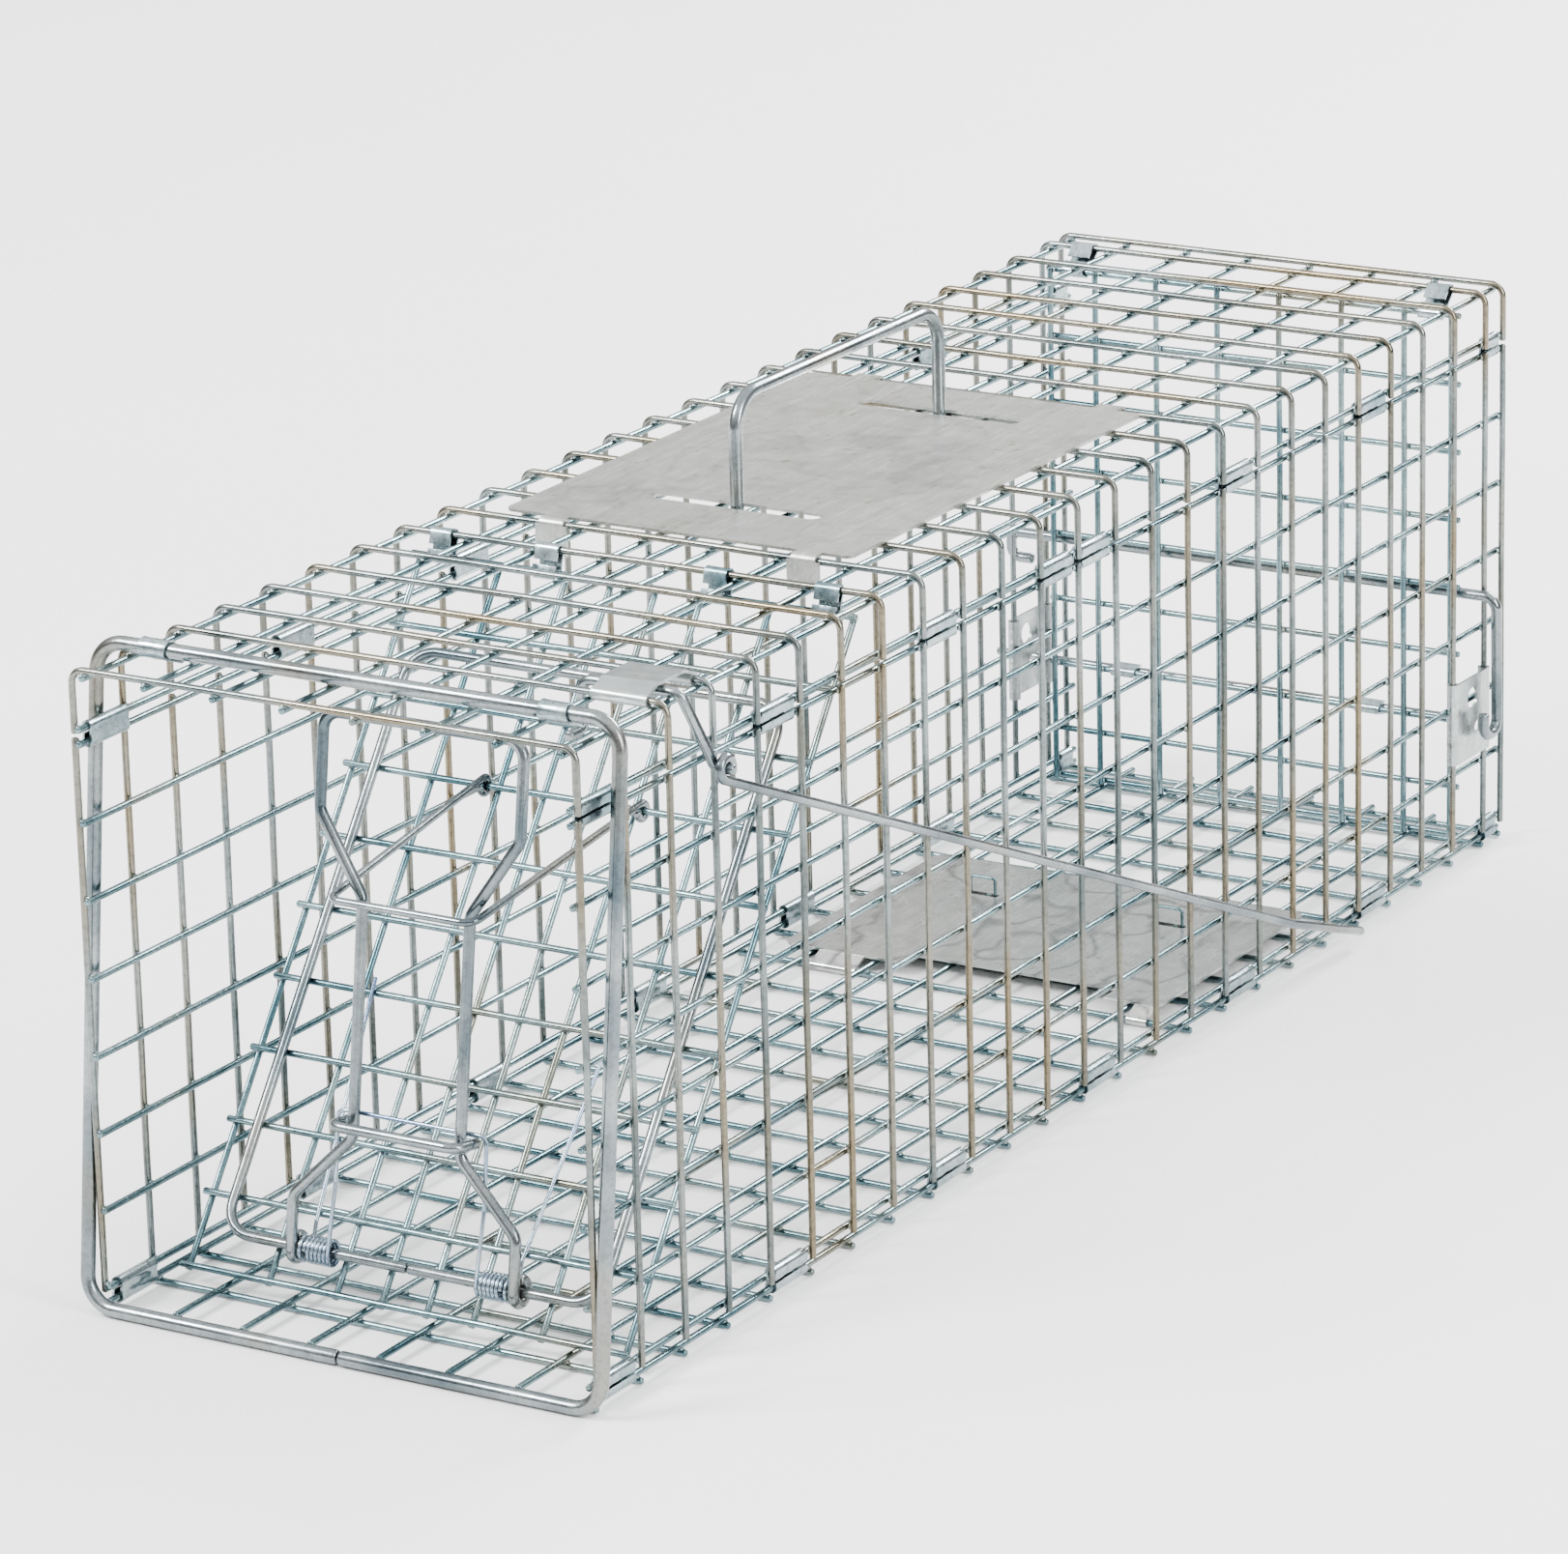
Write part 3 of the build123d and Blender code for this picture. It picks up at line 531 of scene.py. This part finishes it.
PLATE = galvanised(
    "plate_sheet",
    base=(0.54, 0.55, 0.52),
    smudge=(0.27, 0.265, 0.24),
    stretch=ROLLED_ACROSS,
    strokes=0.25,
    gloss=(0.28, 0.50),
)
TREADLE = galvanised(
    "treadle_sheet",
    base=(0.62, 0.64, 0.61),
    smudge=(0.27, 0.28, 0.27),
    stretch=ROLLED_ACROSS,
    # the treadle's strong dark lines are painted shadows and reflections of the cage's wires as well as rub
    # marks
    strokes=0.8,
    gloss=(0.17, 0.36),
)
BRACKET = galvanised(
    "bracket_sheet",
    base=(0.42, 0.46, 0.46),
    smudge=(0.24, 0.26, 0.26),
    stretch=ROLLED_ALONG,
    strokes=0.2,
    gloss=(0.24, 0.45),
)


# ---------------------------------------------------------------- mesh panels
def floor_mesh(rng):
    shape = Shape()
    reach = HALF_WIDTH + WIRE
    for y in ROWS:
        tube(shape, waver([(-reach, y, 0), (reach, y, 0)], STRAY, rng), WIRE)
    for x in [k * PITCH - HALF_WIDTH for k in range(8)]:
        tube(shape, waver([(x, -STUB, LAYER), (x, LENGTH + STUB, LAYER)], STRAY, rng), WIRE)
        for y in ROWS:
            nugget(shape, (x, y, LAYER / 2), (1, 0, 0), (0, 1, 0), rng)
    shape.piece("floor_mesh", "cage", [MESH_ZINC, WELD], "floor_panel")


def side_mesh(name, side, rng):
    shape = Shape()
    x, outer = side * HALF_WIDTH, side * SIDE_X
    foot, head = SIDE_ROWS[0] - WIRE, SIDE_ROWS[-1] + STUB
    for z in SIDE_ROWS:
        tube(shape, waver([(x, -STUB, z), (x, LENGTH + STUB, z)], STRAY, rng), WIRE)
    for y in ROWS:
        tube(shape, waver([(outer, y, foot), (outer, y, head)], SLIGHT_STRAY, rng), WIRE, CROSSING)
        for z in SIDE_ROWS:
            nugget(shape, ((x + outer) / 2, y, z), (0, 1, 0), (0, 0, 1), rng)
    materials = [MESH_ZINC, WELD, CROSS_ZINC]
    shape.piece(name + "_side_mesh", "cage", materials, name + "_side_panel")


def top_mesh(rng):
    shape = Shape()
    foot = FLANGE_Z - WIRE * 0.7
    for y in ROWS:
        corners = [(-SIDE_X, y, foot), (-SIDE_X, y, TOP_Z), (SIDE_X, y, TOP_Z), (SIDE_X, y, foot)]
        tube(shape, waver(fillet(corners, FLANGE_BEND), SLIGHT_STRAY, rng), WIRE, CROSSING)
    edge = SIDE_X - FLANGE_BEND
    for x in TOP_LONG + [-edge, edge]:
        tube(shape, waver([(x, -STUB, TOP_UNDER), (x, LENGTH + STUB, TOP_UNDER)], STRAY, rng), WIRE)
        for y in ROWS:
            nugget(shape, (x, y, TOP_Z - LAYER / 2), (1, 0, 0), (0, 1, 0), rng)
    for side in (-1, 1):
        x = side * HALF_WIDTH
        tube(shape, waver([(x, -STUB, FLANGE_Z), (x, LENGTH + STUB, FLANGE_Z)], SLIGHT_STRAY, rng), WIRE)
        for y in ROWS:
            nugget(shape, ((x + side * SIDE_X) / 2, y, FLANGE_Z), (0, 1, 0), (0, 0, 1), rng)
    shape.piece("top_mesh", "cage", [MESH_ZINC, WELD, CROSS_ZINC], "top_cover")


# ---------------------------------------------------------------- tilted places
class Tilt:
    """A plane along X whose second axis rises rearward; (x, up-slope, outward) to design mm."""

    def __init__(self, y, z, angle):
        turn = math.radians(angle)
        self.origin = Vector((0, y, z))
        self.up = Vector((0, math.cos(turn), math.sin(turn)))
        self.out = Vector((0, -math.sin(turn), math.cos(turn)))

    def __call__(self, x, up, out=0.0):
        return self.origin + Vector((x, 0, 0)) + self.up * up + self.out * out


def turned(tilt, x, radius, start, sweep, step=14.0):
    """Points of a wire turned round an axis along X, degrees measured from the up-slope axis."""
    count = max(3, math.ceil(abs(sweep) / step))
    points = []
    for k in range(count + 1):
        angle = math.radians(start + sweep * k / count)
        points.append(tilt(x, radius * math.cos(angle), radius * math.sin(angle)))
    return points


def eyed(tilt, x, radius, sweep, middle):
    """A route between two open eyes that turn round the tilt's own axis."""
    left = turned(tilt, x, radius, 90 + sweep, -sweep)
    right = turned(tilt, -x, radius, 90, sweep)
    return left + middle[1:-1] + right


# ---------------------------------------------------------------- front door and lock
HINGE_Z = 201.2
DOOR_HINGE_Y = 175.3
DOOR_SLOPE = 53.4
DOOR_PITCH = 24.4
DOOR_HALF = 83.5
DOOR_BARS = [8.4, 25.4, 50.8, 81.3]
DOOR = Tilt(DOOR_HINGE_Y, HINGE_Z, DOOR_SLOPE)

FRAME_WIRE = 3.5
FRAME_LIFT = (WIRE + FRAME_WIRE) / 2 - SINK
FRAME_HALF = 69.85
FRAME_TOP = -33.0
FRAME_BEND = 10.0

LOCK_WIRE = 3.8
LOCK_AXIS = 9.5 * DOOR_PITCH
LOCK_LEAN = 28.5
LOCK_EYE = FRAME_WIRE / 2 + CLEARANCE + LOCK_WIRE / 2
LOCK_EYE_X = 41.4
LOCK_NECK_X = 19.8
LOCK_HEAD_X = 36.8
LOCK_HALF = [
    (LOCK_EYE_X, 0),
    (LOCK_EYE_X, 17.6),
    (LOCK_NECK_X, 39.2),
    (LOCK_NECK_X, 115.4),
    (LOCK_HEAD_X, 140.8),
    (LOCK_HEAD_X, 172.0),
]
PIVOT = DOOR(0, -LOCK_AXIS, FRAME_LIFT)
LOCK = Tilt(PIVOT.y, PIVOT.z, DOOR_SLOPE + LOCK_LEAN)
DOOR_AT_PIVOT = Tilt(PIVOT.y, PIVOT.z, DOOR_SLOPE)

TIE_WIRE = 3.5
TIE_HEIGHT = 44.0
TIE_REACH = 8.0
TIE_BEND = 4.2
TIE_WELD = 1.8

SPRING_WIRE = 1.4
SPRING_RADIUS = 3.9
SPRING_BEND = 2.8
COIL_X = 27.6
COIL_TURNS = 6
COIL_PITCH = 1.5
COIL_STEPS = 18
BAIL_LENGTH = 46.8
BAIL_BOW = 0.2
LEG_X = 38.3
LEG_TURN = 250
LEG_FOOT = 9.4
LEG_LENGTH = 90.0
LEG_SPREAD = 1.18
LEG_CLEARANCE = 0.1

LOOP_WIRE = 2.6
LOOP_EYE = WIRE / 2 + CLEARANCE + LOOP_WIRE / 2
LOOP_EYE_X = 29.5
LOOP_FOOT_X = 26.5
LOOP_LENGTH = 94.0
LOOP_LEAN = 46.0
LOOP_PIVOT = DOOR(0, -3 * DOOR_PITCH, 0)
LOOP = Tilt(LOOP_PIVOT.y, LOOP_PIVOT.z, DOOR_SLOPE - LOOP_LEAN)


def front_door(rng):
    shape = Shape()
    rows = [-k * DOOR_PITCH for k in range(11)]
    top, bottom = WIRE / 2, rows[-1] - WIRE / 2
    for up in rows:
        tube(shape, waver([DOOR(-DOOR_HALF, up), DOOR(DOOR_HALF, up)], STRAY, rng), WIRE)
    for x in both_sides(DOOR_BARS):
        tube(shape, waver([DOOR(x, top, -LAYER), DOOR(x, bottom, -LAYER)], STRAY, rng), WIRE)
        for up in rows:
            nugget(shape, DOOR(x, up, -LAYER / 2), (1, 0, 0), DOOR.up, rng)
    shape.piece("front_door_wires", "front_door", [MESH_ZINC, WELD], "front_door_mesh")


def door_frame():
    shape = Shape()
    places = [(SPACE, -LOCK_AXIS), (FRAME_HALF, -LOCK_AXIS), (FRAME_HALF, FRAME_TOP)]
    half = [DOOR(x, up, FRAME_LIFT) for x, up in places]
    tube(shape, fillet(mirrored(half), FRAME_BEND, step=8.0), FRAME_WIRE, sides=16)
    shape.piece("front_door_frame_wire", "front_door", [HEAVY_ZINC], "front_door_frame")


def lock_frame():
    shape = Shape()
    half = [LOCK(x, up, LOCK_EYE) for x, up in LOCK_HALF]
    legs = fillet(mirrored(half), LOCK_WIRE * 1.6, step=9.0)
    tube(shape, eyed(LOCK, LOCK_EYE_X, LOCK_EYE, EYE_TURN, legs), LOCK_WIRE, sides=16)
    shape.piece("lock_frame_wire", "lock", [HEAVY_ZINC], "lock_frame")


def lock_tie():
    shape = Shape()
    x = LOCK_NECK_X + (LOCK_WIRE + TIE_WIRE) / 2 - SINK
    back, front = LOCK_EYE - LOCK_WIRE, LOCK_EYE + TIE_REACH
    ends = [LOCK(a, TIE_HEIGHT, out) for a, out in ((-x, back), (-x, front), (x, front), (x, back))]
    tube(shape, fillet(ends, TIE_BEND, step=10.0), TIE_WIRE, sides=16)
    for side in (-1, 1):
        spot = LOCK(side * (LOCK_NECK_X + LOCK_WIRE / 2), TIE_HEIGHT, LOCK_EYE)
        nugget(shape, spot, LOCK.up, LOCK.out, random.Random(71), size=TIE_WELD)
    shape.piece("lock_tie_wire", "lock", [HEAVY_ZINC, WELD], "lock_tie")


def lock_spring():
    """The coils and the bail of the spring, which ride on the lock frame."""
    shape = Shape()
    lift = LOCK_EYE - (LOCK_WIRE + SPRING_WIRE) / 2 - CLEARANCE
    coil = []
    for k in range(COIL_TURNS * COIL_STEPS, -1, -1):
        angle = math.pi / 2 + math.tau * k / COIL_STEPS
        x = COIL_X + COIL_PITCH * k / COIL_STEPS
        coil.append(LOCK(x, SPRING_RADIUS * math.cos(angle), SPRING_RADIUS * math.sin(angle)))
    corners = [
        coil[-1],
        LOCK(COIL_X, BAIL_LENGTH / 2, lift - BAIL_BOW),
        LOCK(COIL_X, BAIL_LENGTH, lift),
        LOCK(0, BAIL_LENGTH, lift),
    ]
    bail = fillet(corners, SPRING_BEND, step=12.0)
    tube(shape, mirrored(coil + bail[1:-1]), SPRING_WIRE)
    shape.piece("lock_spring_wire", "lock", [SPRING_ZINC], "lock_spring")


def lock_spring_legs():
    """The outer ends of the spring, which press on the door."""
    shape = Shape()
    lift = (WIRE + SPRING_WIRE) / 2 - FRAME_LIFT + LEG_CLEARANCE
    for x in both_sides([LEG_X]):
        start = turned(DOOR_AT_PIVOT, x, SPRING_RADIUS, -90 - LEG_TURN, LEG_TURN)
        foot = DOOR_AT_PIVOT(x, LEG_FOOT, lift)
        tip = DOOR_AT_PIVOT(x * LEG_SPREAD, LEG_LENGTH, lift)
        leg = fillet([start[-1], foot, tip], SPRING_BEND, step=10.0)
        tube(shape, start[:-1] + leg, SPRING_WIRE)
    shape.piece("lock_spring_leg_wires", "front_door", [SPRING_ZINC], "lock_spring_legs")


def guide_loop():
    shape = Shape()
    half = [LOOP(LOOP_EYE_X, 0, LOOP_EYE), LOOP(LOOP_FOOT_X, -LOOP_LENGTH, LOOP_EYE)]
    arms = fillet(mirrored(half), LOOP_WIRE * 1.8, step=9.0)
    tube(shape, eyed(LOOP, LOOP_EYE_X, LOOP_EYE, -EYE_TURN, arms), LOOP_WIRE, sides=14)
    shape.piece("guide_loop_wire", "loop", [HEAVY_ZINC], "guide_loop")


# ---------------------------------------------------------------- hoop, crank, rod and handle
HOOP_WIRE = 4.8
HOOP_HALF = SIDE_X + WIRE / 2 + HOOP_WIRE / 2 + SPACE
HOOP_TOP = (19.0, TOP_Z + WIRE / 2 + HOOP_WIRE / 2 + SPACE)
HOOP_FOOT = (-(STUB + HOOP_WIRE / 2 + SPACE), (HOOP_WIRE - WIRE) / 2)
HOOP_BEND = 10.0

CRANK_WIRE = 3.5
CRANK_Y = 59.0
CRANK_Z = TOP_UNDER + (WIRE + CRANK_WIRE) / 2 + SPACE
CATCH_X = 56.0
CATCH_LENGTH = 9.0
CATCH_DROP = 16.0
CRANK_ELBOW_X = 90.5
PIN_X = 97.5
PIN_END_X = 104.6
PIN = (66.5, 185.2)
CRANK_BENDS = [3.6, 3.6, 3.6, 2.0]

ROD_WIRE = 3.2
ROD_X = 101.4
ROD_EYE = CRANK_WIRE / 2 + CLEARANCE + ROD_WIRE / 2
ROD_KNEE = (436.4, 23.4)
ROD_TIP = (490.0, 4.4)
ROD_BEND = 20.0

HANDLE_WIRE = 4.6
HANDLE_LOW = 206.8
HANDLE_HIGH = 247.0
HANDLE_TOE = 232.7
HANDLE_FRONT = 241.3
HANDLE_BACK = 373.4
HANDLE_HEEL = 379.4
HANDLE_BENDS = [3.6, 12.0, 12.0, 3.6]


def front_hoop():
    shape = Shape()
    half = [(SPACE, *HOOP_FOOT), (HOOP_HALF, *HOOP_FOOT), (HOOP_HALF, *HOOP_TOP)]
    tube(shape, fillet(mirrored(half), HOOP_BEND, step=6.0), HOOP_WIRE, sides=20)
    shape.piece("front_hoop_wire", "hoop", [HEAVY_ZINC], "front_hoop")


def latch_crank():
    shape = Shape()
    low = CRANK_Z - CATCH_DROP
    points = [
        (CATCH_X, CRANK_Y - CATCH_LENGTH, low),
        (CATCH_X, CRANK_Y, low),
        (CATCH_X, CRANK_Y, CRANK_Z),
        (CRANK_ELBOW_X, CRANK_Y, CRANK_Z),
        (PIN_X, *PIN),
        (PIN_END_X, *PIN),
    ]
    tube(shape, fillet(points, CRANK_BENDS, step=9.0), CRANK_WIRE, sides=16)
    shape.piece("latch_crank_wire", "crank", [HEAVY_ZINC], "latch_crank")


def trigger_rod():
    shape = Shape()
    slope = math.degrees(math.atan2(ROD_KNEE[1] - PIN[1], ROD_KNEE[0] - PIN[0]))
    eye = turned(Tilt(*PIN, slope), ROD_X, ROD_EYE, -90 - EYE_TURN, EYE_TURN)
    run = fillet([eye[-1], (ROD_X, *ROD_KNEE), (ROD_X, *ROD_TIP)], ROD_BEND, step=6.0)
    tube(shape, eye[:-1] + divide(run, ROD_BEND), ROD_WIRE, sides=14)
    shape.piece("trigger_rod_wire", "rod", [HEAVY_ZINC], "trigger_rod")


def handle():
    shape = Shape()
    points = [
        (0, HANDLE_TOE, HANDLE_LOW),
        (0, HANDLE_FRONT, HANDLE_LOW),
        (0, HANDLE_FRONT, HANDLE_HIGH),
        (0, HANDLE_BACK, HANDLE_HIGH),
        (0, HANDLE_BACK, HANDLE_LOW),
        (0, HANDLE_HEEL, HANDLE_LOW),
    ]
    tube(shape, fillet(points, HANDLE_BENDS, step=7.0), HANDLE_WIRE, sides=20)
    shape.piece("handle_wire", "handle_bail", [HEAVY_ZINC], "handle")


# ---------------------------------------------------------------- rear door and treadle links
REAR_Y = 602.0
REAR_FOOT = 4.9
REAR_ROWS = [HINGE_Z - k * PITCH for k in range(8)] + [REAR_FOOT]
REAR_HALF = 85.0
REAR_BARS = [12.7, 38.1, 63.5, 82.4]

LOCK_ROD_WIRE = 3.0
LOCK_ROD_Y = REAR_Y + WIRE / 2 + LOCK_ROD_WIRE / 2 + SPACE
LOCK_ROD_Z = REAR_ROWS[6]
LOCK_ROD_LEFT = -110.0
LOCK_ROD_RIGHT = 86.0

BAIL_WIRE = 4.0
BAIL_SPACE = 0.65
BAIL_Y = REAR_Y + WIRE / 2 + BAIL_WIRE / 2 + BAIL_SPACE
BAIL_LEAN = 1.0
BAIL_HOOK = (-95.0, BAIL_Y + BAIL_LEAN, 86.5)
BAIL_BENDS = [4.0, 4.0, 5.0, 4.9, 4.9]
BAIL_LEFT = -104.0
BAIL_RIGHT = 98.0
BAIL_Z = 96.5
BAIL_TOE_Z = 46.0
BAIL_TOE = 10.0
BAIL_TOE_UP = 9.0

LINK_WIRE = 1.2
LINK_X = 38.1
LINK_Y = 464.8
LINK_LOW = 0.3
LINK_HIGH = 11.0
LINK_HALF = 5.0
LINK_GAP = 1.0


def rear_door(rng):
    shape = Shape()
    y = REAR_Y - LAYER
    top, bottom = REAR_ROWS[0] + WIRE / 2, REAR_ROWS[-1] - WIRE / 2
    for z in REAR_ROWS:
        tube(shape, waver([(-REAR_HALF, REAR_Y, z), (REAR_HALF, REAR_Y, z)], STRAY, rng), WIRE)
    for x in both_sides(REAR_BARS):
        tube(shape, waver([(x, y, top), (x, y, bottom)], STRAY, rng), WIRE)
        for z in REAR_ROWS:
            nugget(shape, (x, REAR_Y - LAYER / 2, z), (1, 0, 0), (0, 0, 1), rng)
    shape.piece("rear_door_wires", "rear_door", [MESH_ZINC, WELD], "rear_door_mesh")


def lock_rod():
    shape = Shape()
    ends = [Vector((x, LOCK_ROD_Y, LOCK_ROD_Z)) for x in (LOCK_ROD_LEFT, LOCK_ROD_RIGHT)]
    tube(shape, divide(ends, 12.0), LOCK_ROD_WIRE, sides=14)
    shape.piece("rear_lock_rod_wire", "lock_bar", [HEAVY_ZINC], "rear_lock_rod")


def rear_bail():
    shape = Shape()
    points = [
        BAIL_HOOK,
        (BAIL_LEFT, BAIL_Y + BAIL_LEAN / 2, BAIL_HOOK[2]),
        (BAIL_LEFT, BAIL_Y, BAIL_Z),
        (BAIL_RIGHT, BAIL_Y, BAIL_Z),
        (BAIL_RIGHT, BAIL_Y + BAIL_LEAN, BAIL_TOE_Z),
        (BAIL_RIGHT, BAIL_Y - BAIL_TOE, BAIL_TOE_Z),
        (BAIL_RIGHT, BAIL_Y - BAIL_TOE, BAIL_TOE_Z + BAIL_TOE_UP),
    ]
    tube(shape, fillet(points, BAIL_BENDS, step=9.0), BAIL_WIRE, sides=16)
    shape.piece("rear_bail_wire", "bail", [HEAVY_ZINC], "rear_bail")


def treadle_links():
    """Wire boxes round the floor's wires that stop the treadle, each with a gap at the bottom."""
    shape = Shape()
    for x in both_sides([LINK_X]):
        points = [
            (x + LINK_GAP, LINK_Y, LINK_LOW),
            (x + LINK_HALF, LINK_Y, LINK_LOW),
            (x + LINK_HALF, LINK_Y, LINK_HIGH),
            (x - LINK_HALF, LINK_Y, LINK_HIGH),
            (x - LINK_HALF, LINK_Y, LINK_LOW),
            (x - LINK_GAP, LINK_Y, LINK_LOW),
        ]
        tube(shape, fillet(points, LINK_WIRE, step=15.0), LINK_WIRE)
    shape.piece("treadle_link_wires", "cage", [MESH_ZINC], "treadle_links")


# ---------------------------------------------------------------- clips
SEAM_CELLS = [0, 4, 8, 12, 16, 20]
SEAM_CLIP = 19.0
LAST_CLIP = 9.0
LAST_CLIP_Y = 24.285 * PITCH
LOOSE = WIRE / 2 + 0.25


def seam_clips(name, side, upper, lower, cells, rng):
    """Clips that hold two long wires of neighbouring panels, one above the other."""
    shape = Shape()
    x = side * HALF_WIDTH
    first = (Vector((0, 0, lower)), WIRE / 2)
    second = (Vector((0, 0, upper)), WIRE / 2)
    places = [((cell + 0.5) * PITCH, SEAM_CLIP) for cell in cells] + [(LAST_CLIP_Y, LAST_CLIP)]
    for y, length in places:
        crimped(shape, (x, y, 0), (0, 1, 0), first, second, length, rng, seam=int(side > 0))
    shape.piece(name + "_strips", "cage", [CLIP_ZINC], name)


def top_clips(name, distance, row, held, radius, length, rng):
    """Clips that hang a wire along X from one of the top's cross wires."""
    shape = Shape()
    first = (Vector((0, ROWS[row], TOP_Z)), WIRE / 2)
    second = (Vector((0, *held)), radius)
    for x in both_sides(distance):
        crimped(shape, (x, 0, 0), (1, 0, 0), first, second, length, rng)
    shape.piece(name + "_strips", "cage", [CLIP_ZINC], name)


def carried_over():
    """CAD nodes whose own shape is shown, with their finishes."""
    looks = {
        "treadle_plate": TREADLE,
        "handle_plate": PLATE,
        "latch_plate": BRACKET,
        "left_padlock_plate": BRACKET,
        "right_padlock_plate": BRACKET,
        "rear_door_sleeves": CLIP_ZINC,
    }
    for node, material in looks.items():
        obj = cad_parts[node]
        obj.data.materials.clear()
        obj.data.materials.append(material)


def build():
    rng = random.Random(24)
    floor_mesh(rng)
    side_mesh("left", -1, rng)
    side_mesh("right", 1, rng)
    top_mesh(rng)
    front_door(rng)
    rear_door(rng)
    door_frame()
    lock_frame()
    lock_tie()
    lock_spring()
    lock_spring_legs()
    guide_loop()
    front_hoop()
    latch_crank()
    trigger_rod()
    handle()
    lock_rod()
    rear_bail()
    treadle_links()
    seam_clips("upper_left_seam_clips", -1, FLANGE_Z, SIDE_ROWS[-1], SEAM_CELLS, rng)
    seam_clips("upper_right_seam_clips", 1, FLANGE_Z, SIDE_ROWS[-1], SEAM_CELLS + [11], rng)
    seam_clips("lower_left_seam_clips", -1, SIDE_ROWS[0], LAYER, SEAM_CELLS, rng)
    seam_clips("lower_right_seam_clips", 1, SIDE_ROWS[0], LAYER, SEAM_CELLS, rng)
    top_clips("door_hinge_clips", [31.7, 72.4], 7, (DOOR_HINGE_Y, HINGE_Z), LOOSE, 8.4, rng)
    top_clips("rear_hinge_clips", [73.0], 24, (REAR_Y, HINGE_Z), LOOSE, 9.0, rng)
    top_clips("hoop_clips", [72.5], 1, HOOP_TOP, HOOP_WIRE / 2, 10.0, rng)
    carried_over()


# ---------------------------------------------------------------- studio
def camera():
    azimuth, elevation, roll = (math.radians(v) for v in (31.35, 17.67, -1.41))
    aim, distance = Vector((-0.0323, 0.0142, 0.0907)), 2.5258
    flat = math.cos(elevation)
    forward = Vector((-math.sin(azimuth) * flat, math.cos(azimuth) * flat, -math.sin(elevation)))
    level = forward.cross(Vector((0, 0, 1))).normalized()
    upright = level.cross(forward)
    right = level * math.cos(roll) + upright * math.sin(roll)
    up = right.cross(forward)
    turn = Matrix((right, up, -forward)).transposed()
    data = bpy.data.cameras.new("camera")
    data.lens = 169.83
    data.sensor_width = 36.0
    data.clip_end = 50.0
    obj = link(bpy.data.objects.new("camera", data))
    obj.matrix_world = Matrix.Translation(aim - forward * distance) @ turn.to_4x4()
    bpy.context.scene.camera = obj


def area_light(name, place, aim, size, power):
    data = bpy.data.lights.new(name, "AREA")
    data.shape = "RECTANGLE"
    data.size, data.size_y = size
    data.energy = power
    obj = link(bpy.data.objects.new(name, data))
    obj.location = place
    obj.rotation_euler = (Vector(aim) - Vector(place)).to_track_quat("-Z", "Y").to_euler()


def paper():
    """The sheet that the trap stands on."""
    mesh = bpy.data.meshes.new("studio_floor")
    reach = 8.0
    corners = [(-reach, -reach, 0), (reach, -reach, 0), (reach, reach, 0), (-reach, reach, 0)]
    mesh.from_pydata(corners, [], [(0, 1, 2, 3)])
    ground = link(bpy.data.objects.new("studio_floor", mesh))
    ground.location.z = -0.0003
    material, tree, shader, vector = nodes_of("studio_paper")
    tone = rise(tree, noise(tree, vector, scale=3, detail=2), 0.3, 0.7, 0.86, 0.88)
    tree.links.new(tone, shader.inputs["Base Color"])
    shader.inputs["Roughness"].default_value = 0.85
    mesh.materials.append(material)


def sky():
    """A room that is dark near the ground and bright above."""
    world = bpy.data.worlds.new("studio")
    bpy.context.scene.world = world
    world.use_nodes = True
    tree = world.node_tree
    back = tree.nodes["Background"]
    coords = tree.nodes.new("ShaderNodeTexCoord")
    split = tree.nodes.new("ShaderNodeSeparateXYZ")
    tree.links.new(coords.outputs["Generated"], split.inputs["Vector"])
    glow = ramp(tree, split.outputs["Z"], [(0.0, grey(0.14)), (0.35, grey(0.35)), (0.7, grey(1.0))])
    tree.links.new(glow, back.inputs["Color"])
    back.inputs["Strength"].default_value = 2.4


def studio():
    paper()
    sky()
    area_light("key", (-1.6, -1.8, 2.2), (0, 0, 0.1), (0.9, 0.9), power=170)
    area_light("fill", (2.2, -0.6, 1.2), (0, 0, 0.1), (0.8, 1.4), power=70)
    area_light("back", (0.4, 2.4, 1.8), (0, 0.1, 0.1), (1.4, 0.6), power=160)


build()
camera()
studio()
